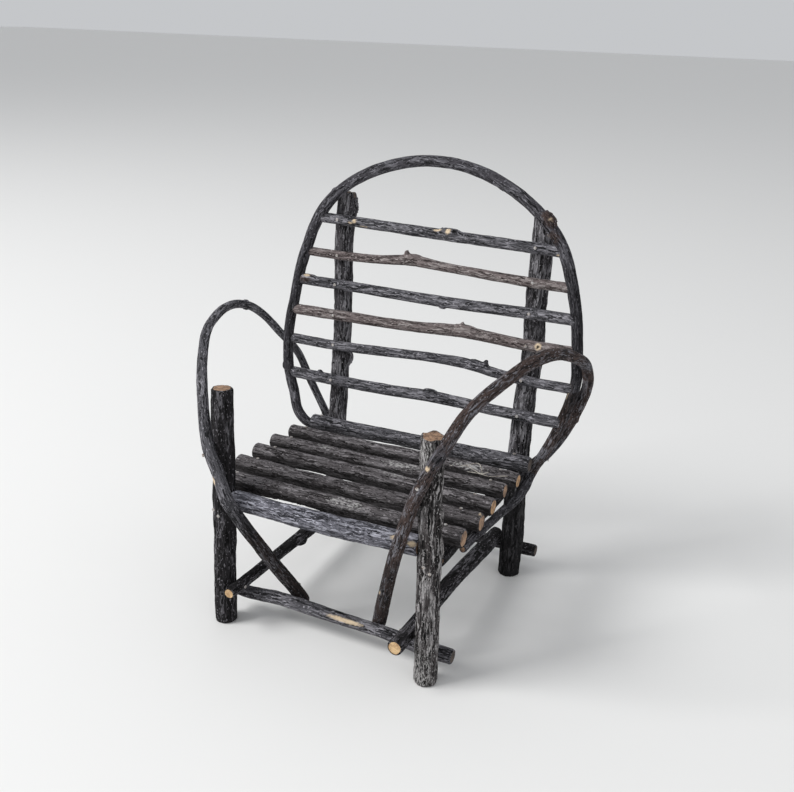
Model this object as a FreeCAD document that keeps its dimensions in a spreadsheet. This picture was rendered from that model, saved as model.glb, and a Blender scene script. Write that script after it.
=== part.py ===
import FreeCAD, Part

import math
import os
import Sketcher

# A small armchair of unpeeled twigs, nailed together.
# The chair faces -Y and stands on z = 0. Left and right are as seen from the front, so left is -X.
# Inside this file a place is measured from a floor point between the front legs. Every finished piece
# is then moved by the two origin sizes, so that the part's own origin is on the floor under the middle
# of its bounding box.

SIZES = [
    # The frame of four legs
    ("front_leg_spacing", 188.6, "between the axes of the front legs, at the floor"),
    ("front_legs_right", 0.7, "how far to the right the pair of front legs stands"),
    ("back_leg_spacing", 192.0, "between the axes of the back legs, at the floor"),
    ("seat_depth", 192.5, "from the front legs' axes to the back legs', at the floor"),
    ("front_leg_height", 211.0, "floor to the sawn top of a front leg"),
    ("back_leg_height", 334.0, "floor to the top of a back leg"),
    ("back_lean_run", 37.7, "how far a back leg's top stands behind its foot"),
    ("left_back_splay", 7.4, "how far the left back leg's top stands outward"),
    ("right_back_splay", -4.4, "the same for the right back leg, which leans inward"),
    ("front_leg_drift", 1.7, "how far a front leg's top stands inward of its foot"),
    ("front_leg_radius", 9.4, "front leg"),
    ("left_back_radius", 8.9, "left back leg"),
    ("right_back_radius", 10.2, "right back leg"),
    ("leg_bow", 2.0, "how far a leg or rail bows off its straight line"),
    # The seat
    ("seat_rail_radius", 7.0, "rail under the slat ends"),
    ("seat_rail_height", 105.2, "axis of a seat rail at the front leg"),
    ("seat_rail_fall", 0.4, "how much lower a seat rail is at the back leg"),
    ("seat_rail_out", 2.2, "how far a seat rail lies outward of the leg's axis"),
    ("front_rail_radius", 8.6, "thick twig along the seat's front edge"),
    ("front_rail_height", 117.0, "axis of the front seat rail"),
    ("front_rail_set_back", 1.0, "how far the front seat rail lies behind the front legs' axes"),
    ("seat_slat_reach", 116.0, "from the middle of the seat to a slat's end"),
    ("seat_slat_radius", 7.8, "thickest seat slats"),
    ("slat_bow", 2.0, "how far a slat bows off its straight line"),
    # The back
    ("back_slat_radius", 5.0, "middling back slat"),
    ("hoop_half_width", 146.0, "from the middle of the hoop to its widest place"),
    ("hoop_side_shift", 5.5, "how far to the left the hoop stands"),
    ("hoop_top_height", 373.0, "floor to the hoop's axis at its top"),
    ("hoop_radius", 5.3, "hoop"),
    # The arms
    ("arm_radius", 5.5, "arm twig near its lower end"),
    # The stretchers
    ("left_stretcher_radius", 5.3, "left side stretcher"),
    ("left_stretcher_height", 36.8, "its axis at the front leg"),
    ("left_stretcher_fall", 6.4, "how much lower it is at the back leg"),
    ("left_stretcher_nose", 13.0, "how far it stands proud of the front leg's axis"),
    ("right_stretcher_radius", 7.0, "right side stretcher"),
    ("right_stretcher_height", 39.3, "its axis at the front leg"),
    ("right_stretcher_fall", 8.0, "how much lower it is at the back leg"),
    ("right_stretcher_nose", 25.0, "how far it stands proud of the front leg's axis"),
    ("side_stretcher_heel", 8.0, "how far a side stretcher runs on behind the back leg's axis"),
    ("front_stretcher_radius", 5.8, "front stretcher"),
    ("front_stretcher_height", 22.4, "its axis at the left leg"),
    ("front_stretcher_fall", 4.4, "how much lower it is at the right leg"),
    ("front_stretcher_left_stub", 6.0, "how far it runs on past the left leg's axis"),
    ("front_stretcher_right_stub", 16.0, "how far it runs on past the right leg's axis"),
    ("rear_stretcher_radius", 6.0, "rear stretcher"),
    ("rear_stretcher_height", 18.5, "axis of the rear stretcher"),
    ("rear_stretcher_left_stub", 15.0, "how far it runs on past the left leg's axis"),
    ("rear_stretcher_right_stub", 19.5, "how far it runs on past the right leg's axis"),
    ("stretcher_bow", 4.0, "how far a stretcher bows upward in its middle"),
    # The nails
    ("nail_radius", 0.75, "shank of every nail"),
    ("nail_head_radius", 1.3, "head of every nail"),
    ("nail_head_thickness", 0.6, "head of every nail"),
    ("short_nail_length", 17.0, "nails through a thin slat or an arm into a leg"),
    ("middle_nail_length", 24.0, "nails through a seat slat or a stretcher"),
    ("long_nail_length", 36.0, "nails through a leg into the end of a rail"),
    # The fits
    ("joint_gap", 0.3, "between two twigs that are nailed together"),
    ("nail_fit", 0.05, "round a nail's shank in its hole"),
    ("nail_margin", 4.0, "how far a twig stays straight on either side of a nail"),
    ("straight_end", 14.0, "straight length at each end of a bent twig"),
    ("bend_sagitta", 1.0, "how far a bend may stand off the straight line between two sections"),
    ("slat_landing", 9.0, "how far the hoop stays straight on either side of a slat's end"),
    ("saw_overrun", 12.0, "how far a cut runs past what it cuts"),
    # The place of the origin
    ("origin_right", 16.1, "from the part's origin to the middle of the frame"),
    ("origin_forward", 107.0, "from the part's origin to the front legs' axes"),
]

doc = FreeCAD.newDocument("twig_chair")
sheet = doc.addObject("Spreadsheet::Sheet", "Sizes")
for row, (alias, value, meaning) in enumerate(SIZES, start=1):
    sheet.set(f"A{row}", alias)
    sheet.set(f"B{row}", str(value))
    sheet.set(f"C{row}", meaning)
    sheet.setAlias(f"B{row}", alias)
doc.recompute()


def size(alias):
    """One size, read back from its cell."""
    return float(getattr(sheet, alias))


def vector(x, y, z):
    return FreeCAD.Vector(x, y, z)


RIGHTWARD = vector(1, 0, 0)
BACKWARD = vector(0, 1, 0)
UPWARD = vector(0, 0, 1)
X_AXIS, Y_AXIS, Z_AXIS = 0, 1, 2
LEFT, RIGHT = -1, 1
SIDES = ((LEFT, "left"), (RIGHT, "right"))
HOME = FreeCAD.Placement(vector(size("origin_right"), -size("origin_forward"), 0), FreeCAD.Rotation())
GAP = size("joint_gap")


def blend(start, end, share):
    return start + (end - start) * share


def placed(base, along, facing):
    """A placement whose Z runs along a twig or nail, and whose X faces the given way."""
    turn = FreeCAD.Rotation(facing, FreeCAD.Vector(), along, "ZXY")
    return FreeCAD.Placement(base, turn)


class Twig:
    """One twig, as a run of round sections with straight lengths of bark between them.

    It keeps its sections' centres and radii, so that other pieces can be seated on it, and the
    cutters that later shape its ends and drill it.
    """

    def __init__(self, label):
        self.label = label
        self.centres = []
        self.radii = []
        self.rounds = []
        self.cutters = []
        self.rests = []
        self.body = doc.addObject("PartDesign::Body", f"{label}_twig")

    def add_round(self, centre, radius_cell, thick_share):
        """A round section on a sketch; the caller places the sketch."""
        sketch = self.body.newObject("Sketcher::SketchObject", f"{self.label}_round")
        radius = size(radius_cell) * thick_share
        sketch.addGeometry(Part.Circle(FreeCAD.Vector(), UPWARD, radius), False)
        sketch.addConstraint(Sketcher.Constraint("Coincident", 0, 3, -1, 1))
        sketch.addConstraint(Sketcher.Constraint("Radius", 0, radius))
        sketch.renameConstraint(1, "reach")
        sketch.setExpression("Constraints.reach", f"Sizes.{radius_cell} * {thick_share}")
        self.rounds.append(sketch)
        self.centres.append(centre)
        self.radii.append(radius)
        return sketch

    def loft(self):
        skin = self.body.newObject("PartDesign::AdditiveLoft", f"{self.label}_skin")
        skin.Profile = self.rounds[0]
        skin.Sections = self.rounds[1:]
        skin.Ruled = True
        self.body.Tip = skin

    def lengths(self):
        return zip(self.centres, self.centres[1:], self.radii, self.radii[1:])

    def where(self, axis, value):
        """Centre and radius at the place where the twig passes a coordinate."""
        for start, end, near, far in self.lengths():
            low, high = sorted((start[axis], end[axis]))
            if low <= value <= high and high > low:
                share = (value - start[axis]) / (end[axis] - start[axis])
                return blend(start, end, share), blend(near, far, share)
        raise ValueError(f"{self.label} does not reach {value}")

    def nearest(self, point):
        """Centre, radius and direction at the twig's nearest place to a point."""
        found = []
        for start, end, near, far in self.lengths():
            run = end - start
            share = min(max((point - start).dot(run) / run.dot(run), 0), 1)
            centre = blend(start, end, share)
            found.append(((point - centre).Length, centre, blend(near, far, share), run.normalize()))
        return min(found, key=lambda each: each[0])[1:]


def straight_twig(label, butt, tip, facing, radius_cell, bow_cell, length_cell, places_shares):
    """A twig between two ends.

    Each row of places_shares gives a share of the length, two shares of the bow, first the way the
    twig faces and then square to that, and a share of the radius. Where two rows have the same bow
    and radius the twig is truly straight and round between them, which is where it is nailed.
    """
    twig = Twig(label)
    run = tip - butt
    home = placed(butt, run, facing)
    plane = next(each for each in twig.body.Origin.OriginFeatures if each.Role == "XY_Plane")
    length_share = run.Length / size(length_cell)
    for along_share, facing_share, square_share, thick_share in places_shares:
        bow = vector(facing_share * size(bow_cell), square_share * size(bow_cell), 0)
        centre = home.multVec(bow + vector(0, 0, along_share * run.Length))
        sketch = twig.add_round(centre, radius_cell, thick_share)
        sketch.AttachmentSupport = [(plane, "")]
        sketch.MapMode = "FlatFace"
        offset = "AttachmentOffset.Base."
        sketch.setExpression(offset + "x", f"Sizes.{bow_cell} * {facing_share}")
        sketch.setExpression(offset + "y", f"Sizes.{bow_cell} * {square_share}")
        sketch.setExpression(offset + "z", f"Sizes.{length_cell} * {length_share * along_share}")
    twig.loft()
    twig.body.Placement = HOME.multiply(home)
    return twig


def share_at(shares, place):
    """The value at a place from 0 to 1 along an evenly spaced row of shares."""
    step = min(int(place * (len(shares) - 1)), len(shares) - 2)
    return round(blend(shares[step], shares[step + 1], place * (len(shares) - 1) - step), 4)


BEND_STEP = math.radians(14)


def smooth_line(route):
    curve = Part.BSplineCurve()
    curve.interpolate(route)
    return curve


def bent_twig(label, route, radius_cell, thick_shares, straight_at, straight_half):
    """A twig bent along a smooth route, its sections square to it.

    It is truly straight at both ends and round each point of straight_at, where it is nailed.
    """
    twig = Twig(label)
    line = smooth_line(route)
    first, last = line.FirstParameter, line.LastParameter
    end_length = size("straight_end")
    per_length = (last - first) / line.length()
    ahead_first = (route[1] - route[0]).normalize()
    ahead_last = (route[-1] - route[-2]).normalize()
    clear_end = end_length * per_length
    steps = line.toShape().discretize(Angular=BEND_STEP, Curvature=size("bend_sagitta"), Minimum=2)
    bends = [line.parameter(point) for point in steps]
    nailed = [line.parameter(point) for point in straight_at]
    clear_nail = straight_half * per_length
    sections = [
        (first, first, route[0], ahead_first),
        (first + clear_end, first, route[0] + ahead_first * end_length, ahead_first),
        (last - clear_end, last, route[-1] - ahead_last * end_length, ahead_last),
        (last, last, route[-1], ahead_last),
    ]
    for place in nailed:
        ahead = line.tangent(place)[0]
        for way in (-straight_half, straight_half):
            sections.append((place + way * per_length, place, line.value(place) + ahead * way, ahead))
    for place in bends:
        free = first + clear_end * 3 / 2 < place < last - clear_end * 3 / 2
        if free and all(abs(place - each) > clear_nail * 3 / 2 for each in nailed):
            sections.append((place, place, line.value(place), line.tangent(place)[0]))
    facing = BACKWARD
    for place, thick_place, centre, ahead in sorted(sections, key=lambda each: each[0]):
        facing = facing - ahead * facing.dot(ahead)
        thick = share_at(thick_shares, (thick_place - first) / (last - first))
        sketch = twig.add_round(centre, radius_cell, thick)
        sketch.Placement = placed(centre, ahead, facing)
    twig.loft()
    twig.body.Placement = HOME
    return twig


def thicknesses(route, radius_cell, thick_shares):
    """The twig's radius at each point of its route."""
    lengths = [(end - start).Length for start, end in zip(route, route[1:])]
    return [size(radius_cell) * share_at(thick_shares, sum(lengths[:index]) / sum(lengths))
            for index in range(len(route))]


def kept_clear(route, others, radii):
    """The route with each point that is too near another twig moved straight out until it clears."""
    cleared = []
    for point, radius in zip(route, radii):
        for other in others:
            centre, other_radius, along = other.nearest(point)
            away = point - centre
            needed = other_radius + radius + GAP
            if away.Length < needed:
                point = centre + away * (needed / away.Length)
        cleared.append(point)
    return cleared


def resting(point, other, radius):
    """The point moved straight in or out until a twig there all but touches another twig."""
    centre, other_radius, along = other.nearest(point)
    return centre + (point - centre).normalize() * (other_radius + radius + GAP)


def side_by_side(start, end, other, radius):
    """The two ends of a straight length, moved together until it all but touches another twig."""
    centre, other_radius, along = other.nearest(start)
    away = (end - start).cross(along).normalize()
    distance = away.dot(start - centre)
    shift = away * (math.copysign(other_radius + radius + GAP, distance) - distance)
    return start + shift, end + shift


def closest_place(start, end, other):
    """The place on a straight length that is nearest to another twig's axis."""
    centre, other_radius, along = other.nearest(start)
    ahead = (end - start).normalize()
    square = ahead - along * ahead.dot(along)
    return start + ahead * ((centre - start).dot(square) / square.dot(square))


def tip_against(tip, before, other, radius):
    """A twig's tip moved straight in or out until its rim all but touches another twig."""
    centre, other_radius, along = other.nearest(tip)
    away = (tip - centre).normalize()
    slant = away.dot((tip - before).normalize())
    return centre + away * (other_radius + radius * math.sqrt(1 - slant ** 2) + GAP)


def cutter(label, kind, placement, **lengths):
    """A simple solid that is taken away from a twig; its sizes are bound to the sheet."""
    tool = doc.addObject(kind, label)
    for name, expression in lengths.items():
        tool.setExpression(name, expression)
    tool.Placement = HOME.multiply(placement)
    return tool


# The legs

def leg_line(side, height):
    """The point of a back leg's line at a height."""
    splay = size("left_back_splay") if side == LEFT else size("right_back_splay")
    share = height / size("back_leg_height")
    out = size("back_leg_spacing") / 2 + splay * share
    return vector(side * out, size("seat_depth") + size("back_lean_run") * share, height)


FRONT_LEG_SHARES = {
    LEFT: [(0, 0, 0, 1.0), (0.25, 0, 0, 1.0), (0.42, 0.1, 0.6, 1.0), (0.62, 0.1, 0.6, 1.0),
           (0.64, 0.2, 1.1, 0.98), (0.86, 0.2, 1.1, 0.98), (1, 0, 1.6, 0.96)],
    RIGHT: [(0, 0, 0, 1.0), (0.25, 0, 0, 1.0), (0.42, -0.1, -0.5, 0.98), (0.62, -0.1, -0.5, 0.98),
            (0.64, -0.2, -0.9, 0.96), (0.86, -0.2, -0.9, 0.96), (1, 0, -1.5, 1.0)],
}
BACK_LEG_SHARES = {
    LEFT: [(0, 0, 0, 1.0), (0.13, 0, 0, 1.0), (0.26, 0.5, 0, 0.94), (0.625, 0.5, 0, 0.94),
           (0.645, 0.3, 0, 0.98), (0.88, 0.3, 0, 0.98), (0.9, 0, 0, 0.95), (1, 0, 0, 0.95)],
    RIGHT: [(0, 0, 0, 1.02), (0.13, 0, 0, 1.02), (0.26, -0.4, 0, 0.97), (0.625, -0.4, 0, 0.97),
            (0.645, 0.2, 0, 0.94), (0.88, 0.2, 0, 0.94), (0.9, 0, 0, 0.9), (1, 0, 0, 0.9)],
}
floor_saw = cutter(
    "floor_saw", "Part::Box",
    FreeCAD.Placement(vector(-size("front_leg_spacing"), -size("seat_depth"), -size("saw_overrun")),
                      FreeCAD.Rotation()),
    Length="2 * Sizes.front_leg_spacing", Width="3 * Sizes.seat_depth", Height="Sizes.saw_overrun",
)
front_legs = {}
back_legs = {}
for side, name in SIDES:
    # A leg starts below the floor, where the saw then cuts its foot level.
    foot = vector(side * size("front_leg_spacing") / 2 + size("front_legs_right"), 0, 0)
    top = foot + vector(-side * size("front_leg_drift"), 0, size("front_leg_height"))
    sole = blend(foot, top, -size("saw_overrun") / 4 / size("front_leg_height"))
    front_legs[side] = straight_twig(
        f"front_leg_{name}", sole, top, RIGHTWARD,
        "front_leg_radius", "leg_bow", "front_leg_height", FRONT_LEG_SHARES[side])
    sole = leg_line(side, -size("saw_overrun") / 4)
    back_legs[side] = straight_twig(
        f"back_leg_{name}", sole, leg_line(side, size("back_leg_height")), RIGHTWARD,
        f"{name}_back_radius", "leg_bow", "back_leg_height", BACK_LEG_SHARES[side])
    for leg in (front_legs[side], back_legs[side]):
        leg.cutters.append(floor_saw)

LEAN = math.atan(size("back_lean_run") / size("back_leg_height"))


def in_front_of_back_leg(side, height, radius):
    """Where a twig's axis lies that is nailed across the front of a back leg."""
    centre, leg_radius = back_legs[side].where(Z_AXIS, height)
    return centre - BACKWARD * ((leg_radius + radius + GAP) / math.cos(LEAN))


# The seat

SEAT_RAIL_SHARES = [(0, 0, 0, 1.0), (0.5, 0, 0, 1.0), (0.56, 0.2, 0, 0.98), (1, 0.2, 0, 0.98)]
seat_rails = {}
for side, name in SIDES:
    front_centre, front_radius = front_legs[side].where(Z_AXIS, size("seat_rail_height"))
    out = vector(side * size("seat_rail_out"), 0, 0)
    front_end = front_centre + out + BACKWARD * (front_radius + GAP)
    back_end = in_front_of_back_leg(side, size("seat_rail_height") - size("seat_rail_fall"), 0) + out
    back_end -= BACKWARD * (size("seat_rail_radius") * math.tan(LEAN))
    seat_rails[side] = straight_twig(
        f"seat_rail_{name}", front_end, back_end, RIGHTWARD * side,
        "seat_rail_radius", "leg_bow", "seat_depth", SEAT_RAIL_SHARES)

FRONT_RAIL_SHARES = [(0, 0, 0.2, 0.92), (0.08, 0, 0, 1.0), (0.3, -0.3, 0.1, 1.0), (0.5, -0.6, 0.3, 1.03),
                     (0.84, -0.2, 0, 0.98), (1, 0, 0, 0.98)]
rail_ends = []
for side, name in SIDES:
    centre, leg_radius = front_legs[side].where(Z_AXIS, size("front_rail_height"))
    inward = vector(-side * (leg_radius + GAP), -centre.y, 0)
    rail_ends.append(centre + inward + BACKWARD * (1 + side) * size("front_rail_set_back"))
front_rail = straight_twig("front_seat_rail", rail_ends[0], rail_ends[1], UPWARD,
                           "front_rail_radius", "slat_bow", "front_leg_spacing", FRONT_RAIL_SHARES)

# Each seat slat, from the front: its place on the left and right rail as shares of the seat's depth,
# its left and right reach as shares of the reach, its thickness, and the bow of its middle.
SEAT_SLAT_SHARES = [
    (0.125, 0.120, 0.980, 0.962, 1.00, 0.3),
    (0.295, 0.283, 0.998, 0.984, 1.00, -0.4),
    (0.449, 0.443, 1.010, 0.970, 0.97, 0.4),
    (0.604, 0.624, 1.014, 0.948, 0.88, -0.6),
    (0.750, 0.752, 0.990, 0.976, 0.88, 0.6),
    (0.909, 0.937, 0.938, 0.962, 0.97, -0.4),
]


def on_rail(side, depth, radius):
    """The axis point of a slat that lies on top of a seat rail."""
    centre, rail_radius = seat_rails[side].where(Y_AXIS, depth)
    return centre + UPWARD * (rail_radius + radius + GAP)


def slat_places(start, end, rests, thick, middle_shares):
    """Section shares for a slat: straight from each end to just past its rest, bowed between."""
    run = (end - start).Length
    margin = size("nail_margin") / run
    left_share = round((rests[0] - start).Length / run + margin, 4)
    right_share = round((rests[1] - start).Length / run - margin, 4)
    between = [
        (round(blend(left_share, right_share, along), 4), up, fore, round(thick * more, 4))
        for along, up, fore, more in middle_shares
    ]
    return [(0, 0, 0, thick), (left_share, 0, 0, thick), *between, (right_share, 0, 0, thick), (1, 0, 0, thick)]


def at_across(rests, x):
    """The point of the line through two rests at a distance across the chair."""
    return blend(rests[0], rests[1], (x - rests[0].x) / (rests[1].x - rests[0].x))


MIDDLE_SWELL_SHARE = 1.03
seat_slats = []
for number, (left, right, left_reach, right_reach, thick, bow) in enumerate(SEAT_SLAT_SHARES, start=1):
    radius = size("seat_slat_radius") * thick
    rests = (on_rail(LEFT, left * size("seat_depth"), radius), on_rail(RIGHT, right * size("seat_depth"), radius))
    start = at_across(rests, -left_reach * size("seat_slat_reach"))
    end = at_across(rests, right_reach * size("seat_slat_reach"))
    middle_shares = [(1 / 2, bow, -bow / 2, MIDDLE_SWELL_SHARE)]
    slat = straight_twig(
        f"seat_slat_{number}", start, end, UPWARD, "seat_slat_radius", "slat_bow", "seat_slat_reach",
        slat_places(start, end, rests, thick, middle_shares))
    slat.rests = rests
    seat_slats.append(slat)

# The hoop. Its outline is in the plane of the back: shares of the half width and of the top's height.
HOOP_SHARES = [
    (-0.839, 0.303), (-0.918, 0.359), (-0.970, 0.424), (-0.994, 0.491), (-0.990, 0.558), (-0.963, 0.626),
    (-0.936, 0.693), (-0.892, 0.759), (-0.834, 0.822), (-0.760, 0.872), (-0.670, 0.911), (-0.571, 0.940),
    (-0.437, 0.967), (-0.268, 0.988), (-0.100, 0.999), (0.059, 1.000), (0.210, 0.990), (0.335, 0.975),
    (0.446, 0.956), (0.557, 0.932), (0.660, 0.904), (0.780, 0.861), (0.868, 0.808), (0.919, 0.755),
    (0.958, 0.699), (0.983, 0.642), (0.998, 0.585), (1.002, 0.535), (0.988, 0.493), (0.965, 0.455),
    (0.917, 0.396), (0.862, 0.343),
]
# The tails go on from the hoop's two lower ends, past the outer side of a back leg and then forward
# under the slat ends: shares of half the front legs' spacing, of the seat's depth and of the seat
# rail's height. The point beside the leg comes first on the right and last on the left.
LEFT_TAIL_SHARES = [(-1.165, 0.28, 1.03), (-1.168, 0.42, 1.005), (-1.17, 0.60, 0.97), (-1.17, 0.80, 0.935),
                    (-1.18, 0.93, 0.92), (-1.18, 1.02, 0.95)]
RIGHT_TAIL_SHARES = [(1.14, 1.035, 0.985), (1.155, 0.935, 0.925), (1.16, 0.78, 0.93), (1.161, 0.632, 0.955),
                     (1.161, 0.42, 0.99), (1.161, 0.235, 1.023), (1.161, 0.144, 1.03)]
HOOP_THICK_SHARES = [0.60, 0.66, 0.78, 0.92, 0.96, 0.97, 1.02, 1.03, 0.99, 0.97, 1.0, 1.03, 0.99, 0.95, 0.92,
                     0.90, 0.80, 0.64, 0.60]
TOP_THICK_SHARE = 1.0
leg_top_radius = max(leg.radii[-1] for leg in back_legs.values())
hoop_forward = (leg_top_radius + size("hoop_radius") * TOP_THICK_SHARE + GAP) / math.cos(LEAN)


def on_hoop_plane(x, height):
    run = size("back_lean_run") * height / size("back_leg_height")
    return vector(x, size("seat_depth") + run - hoop_forward, height)


def by_seat(across_share, depth_share, height_share):
    """A point by shares of half the front spacing, the seat's depth and the seat rail's height."""
    return vector(across_share * size("front_leg_spacing") / 2,
                  depth_share * size("seat_depth"), height_share * size("seat_rail_height"))


hoop_route = [by_seat(*shares) for shares in LEFT_TAIL_SHARES]
hoop_route += [
    on_hoop_plane(across * size("hoop_half_width") - size("hoop_side_shift"), up * size("hoop_top_height"))
    for across, up in HOOP_SHARES
]
hoop_route += [by_seat(*shares) for shares in RIGHT_TAIL_SHARES]
hoop_radii = thicknesses(hoop_route, "hoop_radius", HOOP_THICK_SHARES)
for side, beside in ((LEFT, len(LEFT_TAIL_SHARES) - 1), (RIGHT, -len(RIGHT_TAIL_SHARES))):
    hoop_route[beside] = resting(hoop_route[beside], back_legs[side], hoop_radii[beside])
hoop_route = kept_clear(hoop_route, list(seat_rails.values()), hoop_radii)
hoop_line = smooth_line(hoop_route)

# Each back slat, from the top: its height on the left and right leg as shares of the back legs'
# height, its thickness, and places between the legs with their bow up and forward and thickness.
BACK_SLAT_SHARES = [
    (0.934, 0.925, 0.98, [(0.5, -0.3, 0.1, 1.02)]),
    (0.834, 0.834, 0.80, [(0.2, 0.6, 0, 1.05), (0.41, 2.3, 0.2, 1.25), (0.55, 1.4, 0, 1.08), (0.82, 0.7, 0, 1.0)]),
    (0.752, 0.754, 0.98, [(0.3, -0.5, 0, 1.02), (0.62, -0.6, 0, 1.0)]),
    (0.664, 0.669, 1.02, [(0.45, 0.4, 0, 1.0), (0.7, 1.6, 0, 1.1), (0.84, 0.8, 0, 1.02)]),
    (0.578, 0.574, 0.90, [(0.25, 1.1, 0, 1.0), (0.55, 2.6, 0.2, 1.0), (0.73, 2.6, 0, 1.12), (0.86, 1.0, 0, 1.0)]),
    (0.475, 0.477, 1.04, [(0.3, 0.2, 0, 1.0), (0.57, 1.1, 0, 1.04), (0.8, 0.3, 0, 1.0)]),
]


def hoop_crossing(side, height):
    """The hoop's place at a height, on one side of the chair and above the seat."""
    level = Part.Plane(vector(0, 0, height), UPWARD)
    for found in hoop_line.intersect(level)[0]:
        if found.X * side > 0 and found.Y > size("seat_depth") / 2:
            return vector(found.X, found.Y, found.Z)
    raise ValueError("the hoop does not reach this height")


back_rests = []
landings = []
for left, right, thick, middle_shares in BACK_SLAT_SHARES:
    radius = size("back_slat_radius") * thick
    rests = [in_front_of_back_leg(side, share * size("back_leg_height"), radius)
             for side, share in ((LEFT, left), (RIGHT, right))]
    back_rests.append(rests)
    landings.append([hoop_crossing(LEFT, rests[0].z), hoop_crossing(RIGHT, rests[1].z)])
hoop = bent_twig("back_hoop", hoop_route, "hoop_radius", HOOP_THICK_SHARES,
                 [point for pair in landings for point in pair], size("slat_landing"))

back_slats = []
for number, (left, right, thick, middle_shares) in enumerate(BACK_SLAT_SHARES, start=1):
    rests = back_rests[number - 1]
    start, end = [at_across(rests, point.x) for point in landings[number - 1]]
    slat = straight_twig(
        f"back_slat_{number}", start, end, UPWARD, "back_slat_radius", "slat_bow", "hoop_half_width",
        slat_places(start, end, rests, thick, middle_shares))
    for point in landings[number - 1]:
        centre, hoop_radius, along = hoop.nearest(point)
        base = centre - along * size("slat_landing") * 2
        slat.cutters.append(cutter(
            f"back_slat_{number}_cope", "Part::Cylinder", placed(base, along, BACKWARD),
            Radius=f"Sizes.hoop_radius * {hoop_radius / size('hoop_radius')} + Sizes.joint_gap",
            Height="Sizes.slat_landing * 4"))
    slat.rests = rests
    back_slats.append(slat)

# The stretchers

SIDE_STRETCHER_SHARES = {
    LEFT: [(0, 0, 0, 0.94), (0.12, 0, 0, 0.94), (0.45, 0.2, 0, 1.02), (0.6, 0.1, 0, 1.12), (0.88, 0, 0, 0.96),
           (1, 0, 0, 0.96)],
    RIGHT: [(0, 0, 0, 0.93), (0.18, 0, 0, 0.93), (0.5, 0.9, 0.1, 1.0), (0.88, 0, 0, 1.05), (1, 0, 0, 1.05)],
}
side_stretchers = {}
for side, name in SIDES:
    height = size(f"{name}_stretcher_height")
    fall = size(f"{name}_stretcher_fall")
    radius = size(f"{name}_stretcher_radius")
    front_centre, front_radius = front_legs[side].where(Z_AXIS, height)
    back_centre, back_radius = back_legs[side].where(Z_AXIS, height - fall)
    places = SIDE_STRETCHER_SHARES[side]
    at_front = front_centre - RIGHTWARD * (side * (front_radius + radius * places[0][3] + GAP))
    at_back = back_centre - RIGHTWARD * (side * (back_radius + radius * places[-1][3] + GAP))
    per_depth = (at_back - at_front) * (1 / (at_back.y - at_front.y))
    side_stretchers[side] = straight_twig(
        f"side_stretcher_{name}", at_front - per_depth * size(f"{name}_stretcher_nose"),
        at_back + per_depth * size("side_stretcher_heel"), UPWARD,
        f"{name}_stretcher_radius", "stretcher_bow", "seat_depth", places)
    side_stretchers[side].rests = (at_front, at_back)


def behind_legs(label, legs, height, fall, radius_cell, left_stub, right_stub, places):
    """A stretcher nailed across the rear faces of a pair of legs."""
    rests = []
    for side, height_here, thick in ((LEFT, height, places[0][3]), (RIGHT, height - fall, places[-1][3])):
        centre, leg_radius = legs[side].where(Z_AXIS, height_here)
        rests.append(centre + BACKWARD * ((leg_radius + size(radius_cell) * thick + GAP) / math.cos(LEAN)))
    per_width = (rests[1] - rests[0]) * (1 / (rests[1].x - rests[0].x))
    stretcher = straight_twig(label, rests[0] - per_width * left_stub, rests[1] + per_width * right_stub, UPWARD,
                              radius_cell, "stretcher_bow", "front_leg_spacing", places)
    stretcher.rests = rests
    return stretcher


FRONT_STRETCHER_SHARES = [(0, 0, 0, 0.92), (0.1, 0, 0, 0.92), (0.22, 0.7, 0, 0.98), (0.38, 0.7, 0, 0.98),
                          (0.54, 0.6, 0, 0.92), (0.72, 0.6, 0, 0.92), (0.8, 0.3, 0, 1.0), (0.88, 0, 0, 1.08),
                          (1, 0, 0, 1.08)]
REAR_STRETCHER_SHARES = [(0, 0, 0, 1.0), (0.14, 0, 0, 1.0), (0.5, 0.3, 0, 1.04), (0.86, 0, 0, 0.97), (1, 0, 0, 0.97)]
front_stretcher = behind_legs(
    "front_stretcher", front_legs, size("front_stretcher_height"), size("front_stretcher_fall"),
    "front_stretcher_radius", size("front_stretcher_left_stub"), size("front_stretcher_right_stub"),
    FRONT_STRETCHER_SHARES)
rear_stretcher = behind_legs(
    "rear_stretcher", back_legs, size("rear_stretcher_height"), 0,
    "rear_stretcher_radius", size("rear_stretcher_left_stub"), size("rear_stretcher_right_stub"),
    REAR_STRETCHER_SHARES)

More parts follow.
